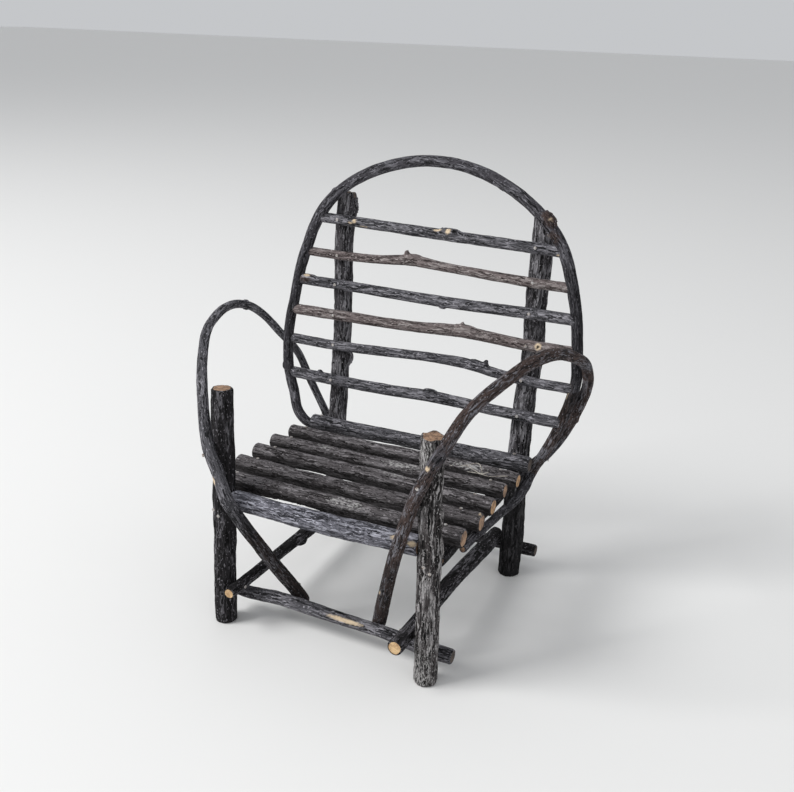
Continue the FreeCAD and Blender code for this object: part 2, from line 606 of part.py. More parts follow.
# The arms: shares of half the front legs' spacing, of the seat's depth and of the front legs' height.
# They start behind the front stretcher, cross in front of a front leg and end beside a back leg.
ARM_SHARES = {
    LEFT: [
        (-0.392, 0.161, 0.097), (-0.426, 0.107, 0.176), (-0.509, 0.020, 0.309),
        (-0.589, -0.029, 0.402), (-0.679, -0.064, 0.485), (-0.856, -0.088, 0.618), (-0.965, -0.067, 0.708),
        (-1.023, -0.057, 0.755), (-1.109, -0.023, 0.794), (-1.239, 0.049, 0.856), (-1.381, 0.133, 0.925),
        (-1.544, 0.258, 0.997), (-1.749, 0.428, 1.063), (-1.877, 0.594, 1.091), (-1.957, 0.752, 1.097),
        (-1.975, 0.857, 1.085), (-1.961, 0.957, 1.054), (-1.922, 1.024, 1.011), (-1.849, 1.070, 0.955),
        (-1.778, 1.088, 0.913), (-1.566, 1.095, 0.828), (-1.496, 1.088, 0.782), (-1.371, 1.084, 0.686),
        (-1.263, 1.086, 0.599), (-1.167, 1.086, 0.514),
    ],
    RIGHT: [
        (0.413, 0.156, 0.095), (0.476, 0.109, 0.175), (0.578, 0.034, 0.304), (0.702, -0.037, 0.467),
        (0.744, -0.061, 0.525), (0.784, -0.071, 0.582), (0.847, -0.072, 0.688), (0.919, -0.076, 0.783),
        (0.969, -0.080, 0.835), (1.029, -0.077, 0.898), (1.130, -0.046, 0.998), (1.212, 0.052, 1.083),
        (1.344, 0.185, 1.152), (1.450, 0.350, 1.191), (1.551, 0.568, 1.185), (1.618, 0.794, 1.114),
        (1.615, 0.999, 1.006), (1.585, 1.073, 0.907), (1.514, 1.091, 0.810), (1.396, 1.089, 0.692),
        (1.252, 1.094, 0.572), (1.162, 1.106, 0.515),
    ],
}
ARM_THICK_SHARES = {
    LEFT: [1.06, 1.04, 1.0, 0.96, 0.90, 0.83, 0.78, 0.76, 0.74, 0.72, 0.71, 0.70],
    RIGHT: [1.07, 1.04, 0.99, 0.94, 0.90, 0.90, 0.90, 0.90, 0.89, 0.89, 0.88, 0.88],
}
# The route points where each arm bends round its front leg; it is nailed at the middle one.
ARM_CROSSING = {LEFT: (6, 7, 8), RIGHT: (7, 8, 9, 10)}
arms = {}
for side, name in SIDES:
    route = [
        vector(across * size("front_leg_spacing") / 2, back * size("seat_depth"), up * size("front_leg_height"))
        for across, back, up in ARM_SHARES[side]
    ]
    radii = thicknesses(route, "arm_radius", ARM_THICK_SHARES[side])
    route = kept_clear(route, [front_rail, front_legs[side], hoop], [radius + GAP for radius in radii])
    route[:2] = side_by_side(route[0], route[1], front_stretcher, radii[0])
    route[-1] = tip_against(route[-1], route[-2], back_legs[side], radii[-1])
    arms[side] = bent_twig(f"arm_{name}", route, "arm_radius", ARM_THICK_SHARES[side],
                           [route[index] for index in ARM_CROSSING[side]], size("nail_margin"))
    low = closest_place(route[0], route[1], front_stretcher)
    crossing = route[ARM_CROSSING[side][1]]
    rear = route[-1] + (route[-2] - route[-1]).normalize() * size("straight_end") / 2
    arms[side].rests = ((low, front_stretcher), (crossing, front_legs[side]), (rear, back_legs[side]))

# The nails. One nail and one drill are made for each length, and every place takes a link to them.
# They repeat so often that each is a six-sided bar with a six-sided head.

NAIL_SIDES = 6
DRILL_RISE_SHARE = 3


def nail_kind(length_cell):
    """A nail that points along +Z with its head's underside at z = 0, and the drill for its hole."""
    shank = cutter(f"{length_cell}_shank", "Part::Prism", FreeCAD.Placement(),
                   Circumradius="Sizes.nail_radius", Height=f"Sizes.{length_cell}")
    head = cutter(f"{length_cell}_head", "Part::Prism", FreeCAD.Placement(),
                  Circumradius="Sizes.nail_head_radius", Height="Sizes.nail_head_thickness")
    drill = cutter(f"{length_cell}_drill", "Part::Prism", FreeCAD.Placement(),
                   Circumradius="Sizes.nail_radius + Sizes.nail_fit",
                   Height=f"Sizes.{length_cell} + Sizes.nail_head_radius * {DRILL_RISE_SHARE} + Sizes.nail_fit")
    for bar in (shank, head, drill):
        bar.Polygon = NAIL_SIDES
        bar.Placement = FreeCAD.Placement()
    head.Placement.Base = vector(0, 0, -size("nail_head_thickness"))
    drill.Placement.Base = vector(0, 0, -size("nail_head_radius") * DRILL_RISE_SHARE)
    nail = doc.addObject("Part::MultiFuse", f"{length_cell}_nail")
    nail.Shapes = [shank, head]
    return nail, drill


nail_kinds = {cell: nail_kind(cell) for cell in ("short_nail_length", "middle_nail_length", "long_nail_length")}
nail_groups = {}


def linked(label, target, placement):
    link = doc.addObject("App::Link", label)
    link.LinkedObject = target
    link.LinkTransform = True
    link.Placement = HOME.multiply(placement)
    return link


def drive(group, length_cell, through, inside, direction):
    """Drive a nail through a point inside the first twig, its head just clear of that twig's skin."""
    centre, radius, along = through[0].nearest(inside)
    direction = FreeCAD.Vector(direction).normalize()
    offset = inside - centre
    offset -= along * offset.dot(along)
    across = direction - along * direction.dot(along)
    toward = offset.dot(across)
    root = math.sqrt(toward ** 2 - across.dot(across) * (offset.dot(offset) - radius ** 2))
    travel = (toward + root) / across.dot(across)
    square_on = -(offset - across * travel).normalize().dot(direction)
    lift = size("nail_head_radius") * math.sqrt(1 / square_on ** 2 - 1) + GAP / 2
    place = inside - direction * (travel + lift)
    facing = UPWARD if abs(direction.dot(UPWARD)) < math.cos(math.pi / 4) else BACKWARD
    placement = placed(place, direction, facing)
    nail, drill = nail_kinds[length_cell]
    nail_groups.setdefault(group, []).append(linked(f"{group}_one", nail, placement))
    hole = linked(f"{group}_hole", drill, placement)
    for twig in through:
        twig.cutters.append(hole)


INTO_BACK = vector(0, math.cos(LEAN), -math.sin(LEAN))
for slat in back_slats:
    for rest, leg in zip(slat.rests, back_legs.values()):
        drive("back_slat_nails", "short_nail_length", [slat, leg], rest, INTO_BACK)
for slat in seat_slats:
    for rest, rail in zip(slat.rests, seat_rails.values()):
        drive("seat_slat_nails", "middle_nail_length", [slat, rail], rest, -UPWARD)

# A pair of nails goes through each front leg into the end of its rail, and one through each back leg.
PAIR_SHARES = ((-0.35, 0.3), (0.35, -0.35))
REAR_NAIL_SHARE = -0.62
for side, name in SIDES:
    rail = seat_rails[side]
    butt, tail = rail.centres[0], rail.centres[-1]
    leg = front_legs[side]
    for across, up in PAIR_SHARES:
        x = butt.x + across * size("seat_rail_radius")
        z = butt.z + up * size("seat_rail_radius")
        centre, radius = leg.where(Z_AXIS, z)
        drive("seat_rail_nails", "long_nail_length", [leg, rail], vector(x, centre.y, z), BACKWARD)
    end = front_rail.centres[0 if side == LEFT else -1]
    centre, radius = leg.where(Z_AXIS, end.z)
    drive("seat_rail_nails", "long_nail_length", [leg, front_rail], vector(centre.x, end.y, end.z),
          RIGHTWARD * -side)
    low = tail.z + REAR_NAIL_SHARE * size("seat_rail_radius")
    centre, radius = back_legs[side].where(Z_AXIS, low)
    drive("seat_rail_nails", "long_nail_length", [back_legs[side], rail], vector(tail.x, centre.y, low),
          -BACKWARD)
    for rest, leg in zip(side_stretchers[side].rests, (front_legs[side], back_legs[side])):
        drive("stretcher_nails", "middle_nail_length", [side_stretchers[side], leg], rest, RIGHTWARD * side)
for stretcher, legs in ((front_stretcher, front_legs), (rear_stretcher, back_legs)):
    for rest, leg in zip(stretcher.rests, legs.values()):
        drive("stretcher_nails", "middle_nail_length", [stretcher, leg], rest, -BACKWARD)
for arm in arms.values():
    for place, bearer in arm.rests:
        centre, radius, along = bearer.nearest(place)
        drive("arm_nails", "short_nail_length", [arm, bearer], place, centre - place)


# Writing out

def finished(twig):
    """The twig less its cuts and nail holes, under its own name."""
    piece = twig.body
    if twig.cutters:
        tools = doc.addObject("Part::Compound", f"{twig.label}_tools")
        tools.Links = twig.cutters
        piece = doc.addObject("Part::Cut", twig.label)
        piece.Base = twig.body
        piece.Tool = tools
    piece.Label = twig.label
    return piece


TWIGS = [
    *front_legs.values(), *back_legs.values(), *seat_rails.values(), front_rail, *seat_slats, hoop,
    *back_slats, *arms.values(), *side_stretchers.values(), front_stretcher, rear_stretcher,
]
pieces = [finished(twig) for twig in TWIGS]
for group, links in nail_groups.items():
    nails = doc.addObject("Part::Compound", group)
    nails.Links = links
    nails.Label = group
    pieces.append(nails)
doc.recompute()

for item in doc.Objects:
    if "Invalid" in item.State or "Error" in item.State:
        raise RuntimeError(f"{item.Label} failed: {item.State}")
os.makedirs("parts", exist_ok=True)
for piece in pieces:
    shape = piece.Shape
    if shape.isNull() or not shape.isValid():
        raise RuntimeError(f"{piece.Label} is not a valid solid")
    shape.exportStep(f"parts/{piece.Label}.step")
    print(piece.Label, len(shape.Solids), "solids", round(shape.Volume), "mm3")
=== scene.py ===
# %% [markdown]
# # A small armchair of unpeeled twigs
# The measured model of the chair is loaded first. It fixes where every twig lies. This lesson then
# grows a lifelike twig over each measured one, with bark, knots, scars and sawn ends, and puts round
# steel heads on the nails. All lengths below are in millimetres and are turned into metres once.

# %% The measured chair
import math
import bpy
import numpy as np
from mathutils import Matrix, Vector, noise


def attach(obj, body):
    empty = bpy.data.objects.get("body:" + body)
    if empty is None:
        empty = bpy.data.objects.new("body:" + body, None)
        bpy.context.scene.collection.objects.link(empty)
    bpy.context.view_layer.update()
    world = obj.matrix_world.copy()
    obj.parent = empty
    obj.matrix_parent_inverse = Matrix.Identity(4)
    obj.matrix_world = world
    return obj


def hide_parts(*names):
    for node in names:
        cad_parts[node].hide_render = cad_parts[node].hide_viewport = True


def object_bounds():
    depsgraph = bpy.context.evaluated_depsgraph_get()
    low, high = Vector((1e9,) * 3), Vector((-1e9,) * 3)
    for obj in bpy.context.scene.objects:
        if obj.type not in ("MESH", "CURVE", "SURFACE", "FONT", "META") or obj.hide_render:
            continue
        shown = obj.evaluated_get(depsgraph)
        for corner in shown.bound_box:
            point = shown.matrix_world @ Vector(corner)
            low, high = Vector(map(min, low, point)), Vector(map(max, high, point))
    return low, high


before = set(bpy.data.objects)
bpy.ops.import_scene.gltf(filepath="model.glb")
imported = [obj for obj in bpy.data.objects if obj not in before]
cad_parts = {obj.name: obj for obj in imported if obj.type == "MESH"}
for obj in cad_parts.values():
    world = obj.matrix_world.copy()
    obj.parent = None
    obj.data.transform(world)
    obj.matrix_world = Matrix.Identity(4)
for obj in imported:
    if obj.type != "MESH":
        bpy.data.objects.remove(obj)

MM = 0.001
cad_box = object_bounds()
low_corner, high_corner = (np.array(corner) / MM for corner in cad_box)
print("measured nodes:", len(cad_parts))
print("measured box:", [tuple(round(v, 4) for v in corner) for corner in cad_box])

# %% [markdown]
# ## Finishes
# Bark is not one colour. Fine furrows run lengthwise, dark at the bottom and weathered grey on the
# ridges, and slower changes of tone lie over them. A flat image would slide on a bent twig, so each
# twig carries its own coordinates in an attribute named grain: two across the twig and one along it,
# as if the twig had been pulled straight. Noise that is stretched along the third runs with the wood.
# A second attribute, marks, is painted where bark is torn off, dark, brown or overgrown, and with
# painted shade where parts lie low or turn from the light.

# %% A short way to wire a material
def new_finish(name):
    finish = bpy.data.materials.new(name)
    finish.use_nodes = True
    return finish, finish.node_tree, finish.node_tree.nodes["Principled BSDF"]


def step(tree, kind, inputs=(), **settings):
    """Adds one node. Its inputs go by name or number, each a value or another node's output."""
    node = tree.nodes.new(kind)
    for key, value in settings.items():
        setattr(node, key, value)
    for key, value in dict(inputs).items():
        if isinstance(value, bpy.types.NodeSocket):
            tree.links.new(value, node.inputs[key])
        else:
            node.inputs[key].default_value = value
    return node


def attribute(tree, name):
    return step(tree, "ShaderNodeAttribute", attribute_name=name).outputs


# %% Arithmetic with nodes
def ramp(tree, factor, low, high):
    """Spreads the part of a noise between low and high over the whole range from 0 to 1."""
    inputs = {"Value": factor, "From Min": low, "From Max": high}
    return step(tree, "ShaderNodeMapRange", inputs).outputs["Result"]


def product(tree, first, second):
    inputs = {0: first, 1: second}
    return step(tree, "ShaderNodeMath", inputs, operation="MULTIPLY").outputs["Value"]


def weighed(tree, first, weight, second):
    """The first value times its weight, plus the second."""
    inputs = {0: first, 1: weight, 2: second}
    return step(tree, "ShaderNodeMath", inputs, operation="MULTIPLY_ADD").outputs["Value"]


def socket_called(sockets, identifier):
    return next(socket for socket in sockets if socket.identifier == identifier)


def mixed(tree, factor, under, over):
    """A mix of two colours: factor 0 shows the one under, factor 1 the one over it."""
    node = step(tree, "ShaderNodeMix", {"Factor": factor}, data_type="RGBA")
    for identifier, value in (("A_Color", under), ("B_Color", over)):
        place = socket_called(node.inputs, identifier)
        if isinstance(value, bpy.types.NodeSocket):
            tree.links.new(value, place)
        else:
            place.default_value = (*value, 1)
    return socket_called(node.outputs, "Result_Color")


def tinted(colour, share):
    return tuple(share * part for part in colour)


# %% Patterns that run with the wood
def pressed(tree, coordinates, stretch):
    """Coordinates pressed along the twig, so that spots become streaks."""
    inputs = {"Vector": coordinates, "Scale": (1, 1, stretch)}
    return step(tree, "ShaderNodeMapping", inputs).outputs["Vector"]


def noise_on(tree, coordinates, stretch, scale, detail, roughness):
    inputs = {
        "Vector": pressed(tree, coordinates, stretch), "Scale": scale,
        "Detail": detail, "Roughness": roughness,
    }
    return step(tree, "ShaderNodeTexNoise", inputs).outputs["Fac"]


PLATE_STRETCH = 0.10
PLATES_PER_WIDTH = 0.78


def plates_on(tree, coordinates, width, feature, output):
    """Long cells, a little wider than the width that is given in millimetres."""
    inputs = {
        "Vector": pressed(tree, coordinates, PLATE_STRETCH),
        "Scale": PLATES_PER_WIDTH / width,
    }
    return step(tree, "ShaderNodeTexVoronoi", inputs, feature=feature).outputs[output]


def dress(tree, shader, colour, roughness, gloss, height, strength, relief):
    """Gives the shader its colour and shine, and a relief of so many millimetres."""
    tree.links.new(colour, shader.inputs["Base Color"])
    shader.inputs["Roughness"].default_value = roughness
    shader.inputs["Specular IOR Level"].default_value = gloss
    inputs = {"Height": height, "Strength": strength, "Distance": relief * MM}
    bump = step(tree, "ShaderNodeBump", inputs).outputs["Normal"]
    tree.links.new(bump, shader.inputs["Normal"])


# %% [markdown]
# ## Bark
# One recipe serves every twig. Long narrow cells are the plates of the bark: each has its own tone,
# and the lines between them are the furrows. Streaky fibres run over the plates, and a slow noise
# says where the ridges are weathered pale. Legs are older wood with deep, wide furrows; the bent
# twigs are young and smoother. The relief comes from the same pattern, so light and colour agree.

# %% The recipe for bark
BARE_WOOD = (0.76, 0.61, 0.43)
BROWN_BARK = (0.082, 0.058, 0.052)
LICHEN = (0.47, 0.46, 0.45)
SWAY_SCALE = 0.16
SWAY_REACH = 3.4
TONE_SHARE = 0.38
FLECK_STRENGTH = 0.75
CRACK_DEPTH = 0.30
GRIT_DEPTH = 0.12


def swaying(tree, grain):
    """The grain, pushed to and fro by a slow noise, so that no furrow runs dead straight."""
    inputs = {"Vector": grain, "Scale": SWAY_SCALE, "Detail": 2.0}
    sway = step(tree, "ShaderNodeTexNoise", inputs).outputs["Color"]
    inputs = {0: sway, 1: (SWAY_REACH, SWAY_REACH, SWAY_REACH), 2: grain}
    return step(tree, "ShaderNodeVectorMath", inputs, operation="MULTIPLY_ADD").outputs["Vector"]


def bark(name, furrow, body, ridge, width, frost, relief):
    """Bark from three colours. Width and relief are in millimetres; frost adds pale ridges."""
    finish, tree, shader = new_finish(name)
    grain = attribute(tree, "grain")["Vector"]
    marks = attribute(tree, "marks")
    painted = step(tree, "ShaderNodeSeparateColor", {"Color": marks["Color"]}).outputs
    wavy = swaying(tree, grain)
    fibres = noise_on(tree, wavy, stretch=0.09, scale=1.15 / width, detail=3, roughness=0.62)
    speckle = noise_on(tree, grain, stretch=0.40, scale=0.75, detail=4, roughness=0.70)
    patches = noise_on(tree, grain, stretch=0.30, scale=0.10 / width, detail=3, roughness=0.60)
    grit = noise_on(tree, grain, stretch=0.7, scale=2.6, detail=3, roughness=0.7)
    flecks = noise_on(tree, grain, stretch=0.45, scale=0.80, detail=2, roughness=0.5)
    edges = plates_on(tree, wavy, width, "DISTANCE_TO_EDGE", "Distance")
    crack = ramp(tree, edges, low=-0.06, high=0.12)
    tones = plates_on(tree, wavy, width, "F1", "Color")
    own_tone = step(tree, "ShaderNodeSeparateColor", {"Color": tones}).outputs["Red"]
    height = weighed(tree, own_tone, TONE_SHARE, product(tree, fibres, 1 - TONE_SHARE))

    skin = mixed(tree, painted["Blue"], body, BROWN_BARK)
    colour = mixed(tree, ramp(tree, height, low=0.31, high=0.45), furrow, skin)
    weathered = ramp(tree, patches, low=0.56 - frost, high=0.68 - frost)
    on_top = ramp(tree, height, low=0.48, high=0.62)
    colour = mixed(tree, product(tree, on_top, weathered), colour, ridge)
    colour = mixed(tree, crack, furrow, colour)
    colour = mixed(tree, ramp(tree, patches, low=0.50, high=0.95), colour, furrow)
    bright = product(tree, ramp(tree, flecks, low=0.63, high=0.70), FLECK_STRENGTH)
    colour = mixed(tree, bright, colour, tinted(ridge, 1.35))
    overgrown = product(tree, marks["Alpha"], ramp(tree, speckle, low=0.47, high=0.56))
    colour = mixed(tree, overgrown, colour, LICHEN)
    old_stain = ramp(tree, fibres, low=0.50, high=0.80)
    torn_wood = mixed(tree, old_stain, BARE_WOOD, tinted(BARE_WOOD, 0.5))
    colour = mixed(tree, painted["Red"], colour, torn_wood)
    # The dark channel carries dark knot centres and streaks, and also painted shade on the slats'
    # lower halves and on low or turned-away parts.
    colour = mixed(tree, painted["Green"], colour, tinted(furrow, 0.35))

    height = weighed(tree, crack, CRACK_DEPTH, height)
    height = weighed(tree, grit, GRIT_DEPTH, height)
    dress(tree, shader, colour, roughness=0.9, gloss=0.14, height=height, strength=1.0, relief=relief)
    print("bark:", name, "furrows about", width, "mm")
    return finish


# %% The eight barks of this chair
charcoal_bark = bark(
    "charcoal_bark", furrow=(0.003, 0.003, 0.003), body=(0.027, 0.025, 0.027),
    ridge=(0.24, 0.23, 0.25), width=1.0, frost=0.08, relief=1.8)
weathered_bark = bark(
    "weathered_bark", furrow=(0.005, 0.005, 0.005), body=(0.085, 0.080, 0.086),
    ridge=(0.36, 0.35, 0.37), width=1.05, frost=0.14, relief=1.8)
slate_bark = bark(
    "slate_bark", furrow=(0.012, 0.012, 0.013), body=(0.125, 0.122, 0.134),
    ridge=(0.36, 0.35, 0.38), width=0.9, frost=0.14, relief=1.3)
rail_bark = bark(
    "rail_bark", furrow=(0.022, 0.022, 0.026), body=(0.165, 0.164, 0.190),
    ridge=(0.46, 0.46, 0.52), width=0.85, frost=0.18, relief=1.4)
seat_bark = bark(
    "seat_bark", furrow=(0.014, 0.012, 0.012), body=(0.135, 0.124, 0.128),
    ridge=(0.33, 0.31, 0.32), width=0.95, frost=0.13, relief=1.5)
frosted_bark = bark(
    "frosted_bark", furrow=(0.004, 0.004, 0.004), body=(0.072, 0.064, 0.064),
    ridge=(0.50, 0.48, 0.48), width=1.1, frost=0.13, relief=2.0)
russet_bark = bark(
    "russet_bark", furrow=(0.030, 0.023, 0.022), body=(0.215, 0.178, 0.174),
    ridge=(0.42, 0.38, 0.37), width=0.85, frost=0.12, relief=1.1)
young_bark = bark(
    "young_bark", furrow=(0.009, 0.009, 0.010), body=(0.080, 0.076, 0.086),
    ridge=(0.25, 0.245, 0.27), width=0.75, frost=0.11, relief=1.1)

# %% [markdown]
# ## Sawn ends
# Where the saw went through, pale wood shows its year rings, darker where it has aged, and the bark
# makes a dark rim. The rings are circles in the two cross coordinates of the grain, and a slow noise
# bends them a little.

# %% The recipe for sawn wood
RING_TURNS = 6.5
RING_WOBBLE = 2.5
ALONG_WOOD = 0.02


def year_rings(tree, grain):
    """A wave from -1 to 1 that rises and falls outward from the pith."""
    inputs = {0: grain, 1: (1, 1, 0)}
    flat = step(tree, "ShaderNodeVectorMath", inputs, operation="MULTIPLY").outputs["Vector"]
    wobble = noise_on(tree, grain, ALONG_WOOD, scale=0.35, detail=2, roughness=0.5)
    out = step(tree, "ShaderNodeVectorMath", {0: flat}, operation="LENGTH").outputs["Value"]
    out = weighed(tree, wobble, RING_WOBBLE, out)
    turns = product(tree, out, RING_TURNS)
    return step(tree, "ShaderNodeMath", {0: turns}, operation="SINE").outputs["Value"]


def sawn(name, pale, ringed, aged):
    finish, tree, shader = new_finish(name)
    grain = attribute(tree, "grain")["Vector"]
    rings = year_rings(tree, grain)
    fibre = noise_on(tree, grain, ALONG_WOOD, scale=1.6, detail=4, roughness=0.65)
    blotch = noise_on(tree, grain, ALONG_WOOD, scale=0.22, detail=2, roughness=0.5)
    colour = mixed(tree, ramp(tree, rings, low=-0.2, high=1.6), pale, ringed)
    worn = weighed(tree, blotch, 0.6, product(tree, fibre, 0.5))
    colour = mixed(tree, ramp(tree, worn, low=0.50, high=0.68), colour, aged)
    dress(tree, shader, colour, roughness=0.75, gloss=0.3, height=fibre, strength=0.7, relief=0.4)
    print("sawn wood:", name)
    return finish


fresh_cut = sawn("fresh_cut", (0.72, 0.52, 0.29), (0.52, 0.33, 0.16), (0.30, 0.16, 0.08))
old_cut = sawn("old_cut", (0.44, 0.28, 0.18), (0.24, 0.14, 0.085), (0.075, 0.048, 0.036))
amber_cut = sawn("amber_cut", (0.58, 0.36, 0.19), (0.33, 0.18, 0.09), (0.10, 0.055, 0.035))
grey_cut = sawn("grey_cut", (0.11, 0.085, 0.07), (0.07, 0.05, 0.042), (0.03, 0.025, 0.022))

# %% [markdown]
# ## Growing a twig
# A twig is a curve with a thickness. The measured places along it are joined by a smooth line, the
# line is given to a curve with a round bevel, and the curve becomes a mesh of rings. Its two ends are
# then filled, as a saw leaves them. The rings come out in order, so every vertex knows how far along
# the twig it lies and which way is outward. That gives the grain, the swellings, the furrows
# between the plates of bark, and the knots.

# %% A smooth line through measured places
RING_SPACING = 1.3
FEWEST_RINGS = 8


def smooth_line(rows):
    """Places every ring spacing along rows of x, y, z and radius, with the direction at each."""
    rows = np.array(rows, float)
    steps = np.linalg.norm(np.diff(rows[:, :3], axis=0), axis=1)
    at = np.concatenate([[0], np.cumsum(steps)])
    slopes = np.gradient(rows, at, axis=0)
    along = np.linspace(0, at[-1], max(int(at[-1] / RING_SPACING), FEWEST_RINGS))
    low = np.clip(np.searchsorted(at, along, side="right") - 1, 0, len(at) - 2)
    span = (at[low + 1] - at[low])[:, None]
    t = (along - at[low])[:, None] / span
    line = ((1 + 2 * t) * (1 - t) ** 2 * rows[low] + t * (1 - t) ** 2 * span * slopes[low]
            + t * t * (3 - 2 * t) * rows[low + 1] - t * t * (1 - t) * span * slopes[low + 1])
    ahead = np.gradient(line[:, :3], along, axis=0)
    return along, line, ahead / np.linalg.norm(ahead, axis=1)[:, None]


def eased(value):
    value = np.clip(value, 0, 1)
    return value * value * (3 - 2 * value)


def noise_at(x, y, z):
    return noise.noise(Vector((x, y, z)))


# %% A mesh of rings with closed ends
BARK_RIM = 0.8
SMOOTH_UP_TO = math.radians(50)


def ring_mesh(name, line, sides):
    """A round-bevelled curve through the line, turned into rings of vertices."""
    bpy.ops.object.select_all(action="DESELECT")
    bpy.ops.curve.primitive_nurbs_path_add()
    curve = bpy.context.object
    curve.data.splines.clear()
    spline = curve.data.splines.new("POLY")
    spline.points.add(len(line) - 1)
    for point, (x, y, z, radius) in zip(spline.points, line * MM):
        point.co = (x, y, z, 1)
        point.radius = radius
    curve.data.bevel_depth = 1
    curve.data.bevel_resolution = (sides - 4) // 2
    curve.data.use_fill_caps = False
    bpy.ops.object.convert(target="MESH")
    twig = bpy.context.object
    twig.name = twig.data.name = name
    return twig


def close_ends(twig):
    """Fills both ends, and insets each so that a rim of bark stays round the wood."""
    rings = len(twig.data.vertices)
    bpy.ops.object.mode_set(mode="EDIT")
    bpy.ops.mesh.select_mode(type="FACE")
    bpy.ops.mesh.select_all(action="SELECT")
    bpy.ops.mesh.fill_holes(sides=0)
    bpy.ops.mesh.select_all(action="DESELECT")
    bpy.ops.mesh.select_face_by_sides(number=4, type="GREATER")
    bpy.ops.mesh.inset(thickness=BARK_RIM * MM, use_boundary=True)
    bpy.ops.mesh.select_all(action="SELECT")
    bpy.ops.mesh.normals_make_consistent(inside=False)
    bpy.ops.object.mode_set(mode="OBJECT")
    grain = twig.data.attributes["grain"].data
    for index in range(rings, len(twig.data.vertices)):
        across = Vector(grain[index].vector).to_2d()
        across *= max(1 - BARK_RIM / max(across.length, BARK_RIM), 0)
        grain[index].vector = (*across, grain[index].vector[2])
    bpy.ops.object.shade_smooth_by_angle(angle=SMOOTH_UP_TO)


# %% Knots, scars and painted shade
# Each paint is a channel of the attribute named marks, and how strongly it covers. The three weaker
# paints on the dark channel are painted shade; the full dark paint is the dark bark of knots.
PAINTS = {
    "bare": (0, 1.0), "dark": (1, 1.0), "deep_shade": (1, 0.8), "middle_shade": (1, 0.6), "faint_shade": (1, 0.35),
    "brown": (2, 1.0), "lichen": (3, 1.0),
}
REACH = 1.6
SWELL_EDGE, SWELL_FADE = 1.15, 1.7
PAINT_FADE = 3
RAGGED_EDGE, RAGGED_LICHEN = 0.28, 0.8


def painted_spots(places, ahead, marks, seed):
    """The outward push in millimetres and the four paints, from a list of marks.

    A mark is a kind, a centre, how wide it is, how far it stands out, and how many times longer it
    is along the twig than across. A knot has no paint of its own.
    """
    push = np.zeros(places.shape[:2])
    paint = np.zeros((*places.shape[:2], 4))
    for kind, centre, wide, tall, stretch in marks:
        gap = places - np.array(centre, float)
        lengthwise = (gap * ahead[:, None, :]).sum(axis=2)
        across = np.sqrt(np.maximum((gap ** 2).sum(axis=2) - lengthwise ** 2, 0))
        away = np.hypot(lengthwise / stretch, across) / wide
        ragged = RAGGED_LICHEN if kind == "lichen" else RAGGED_EDGE
        for ring, side in np.argwhere(away < REACH):
            here = Vector(places[ring, side]) * 0.9 + Vector((seed, 0, 0))
            away[ring, side] += noise.noise(here) * ragged
        push += tall * eased((SWELL_EDGE - away) * SWELL_FADE)
        if kind in PAINTS:
            channel, strength = PAINTS[kind]
            covered = strength * eased((1 - away) * PAINT_FADE)
            paint[..., channel] = np.maximum(paint[..., channel], covered)
    return push, paint


# %% The relief of the bark and a torn end
# How wide and how long the lumps are, in millimetres, and how much each kind counts.
COARSE_LUMPS, FINE_LUMPS = (4.5, 13, 1.0), (1.7, 5, 0.45)
LUMP_SHARE = 0.042
PLATE_SHARE = 0.28
PLATE_LENGTH = 9
FURROW_SHARE = 0.035
FURROW_STEEPNESS = 3.5
TORN_LENGTH = 12
TORN_WAVE = 1.6
TORN_BELOW = 0.35


def noise_in(grain, wide, long):
    """Noise at every vertex, in spots of a width across the twig and a length along it."""
    return np.array([[noise_at(x / wide, y / wide, s / long) for x, y, s in ring] for ring in grain])


def rough_bark(grain, radii, lumps):
    """Lumps, less the furrows between the plates, as an outward push in millimetres."""
    lump = sum(share * noise_in(grain, wide, long) for wide, long, share in (COARSE_LUMPS, FINE_LUMPS))
    plate = PLATE_SHARE * radii.mean()
    edge = np.abs(noise_in(grain, plate, PLATE_LENGTH * plate))
    furrows = eased(1 - FURROW_STEEPNESS * edge) * FURROW_SHARE
    return (lump * LUMP_SHARE - furrows) * lumps * radii


def torn_end(along, turn, seed, broken):
    """How far each vertex near the last end moves lengthwise where the twig was broken."""
    torn = np.array([
        noise_at(TORN_WAVE * math.cos(angle), TORN_WAVE * math.sin(angle), seed) for angle in turn
    ])
    near_end = eased((along - along[-1] + TORN_LENGTH) / TORN_LENGTH)
    return near_end[:, None] * (torn[None, :] - TORN_BELOW) * broken


# %% From a line to a finished twig
LEG_SIDES, RAIL_SIDES, SLAT_SIDES, THIN_SIDES = 68, 64, 60, 52
SWELL_LENGTH = 22
SWELL_SHARE = 0.03
END_ROUNDING = 1.2
END_SHARE = 0.10
SEED_STEP = 7.3
GRAIN_JUMP = 40
SHADE_CHANNEL, SHADE_LINE, SHADE_FADE = 1, 0.62, 1.8
finished_twigs = {}


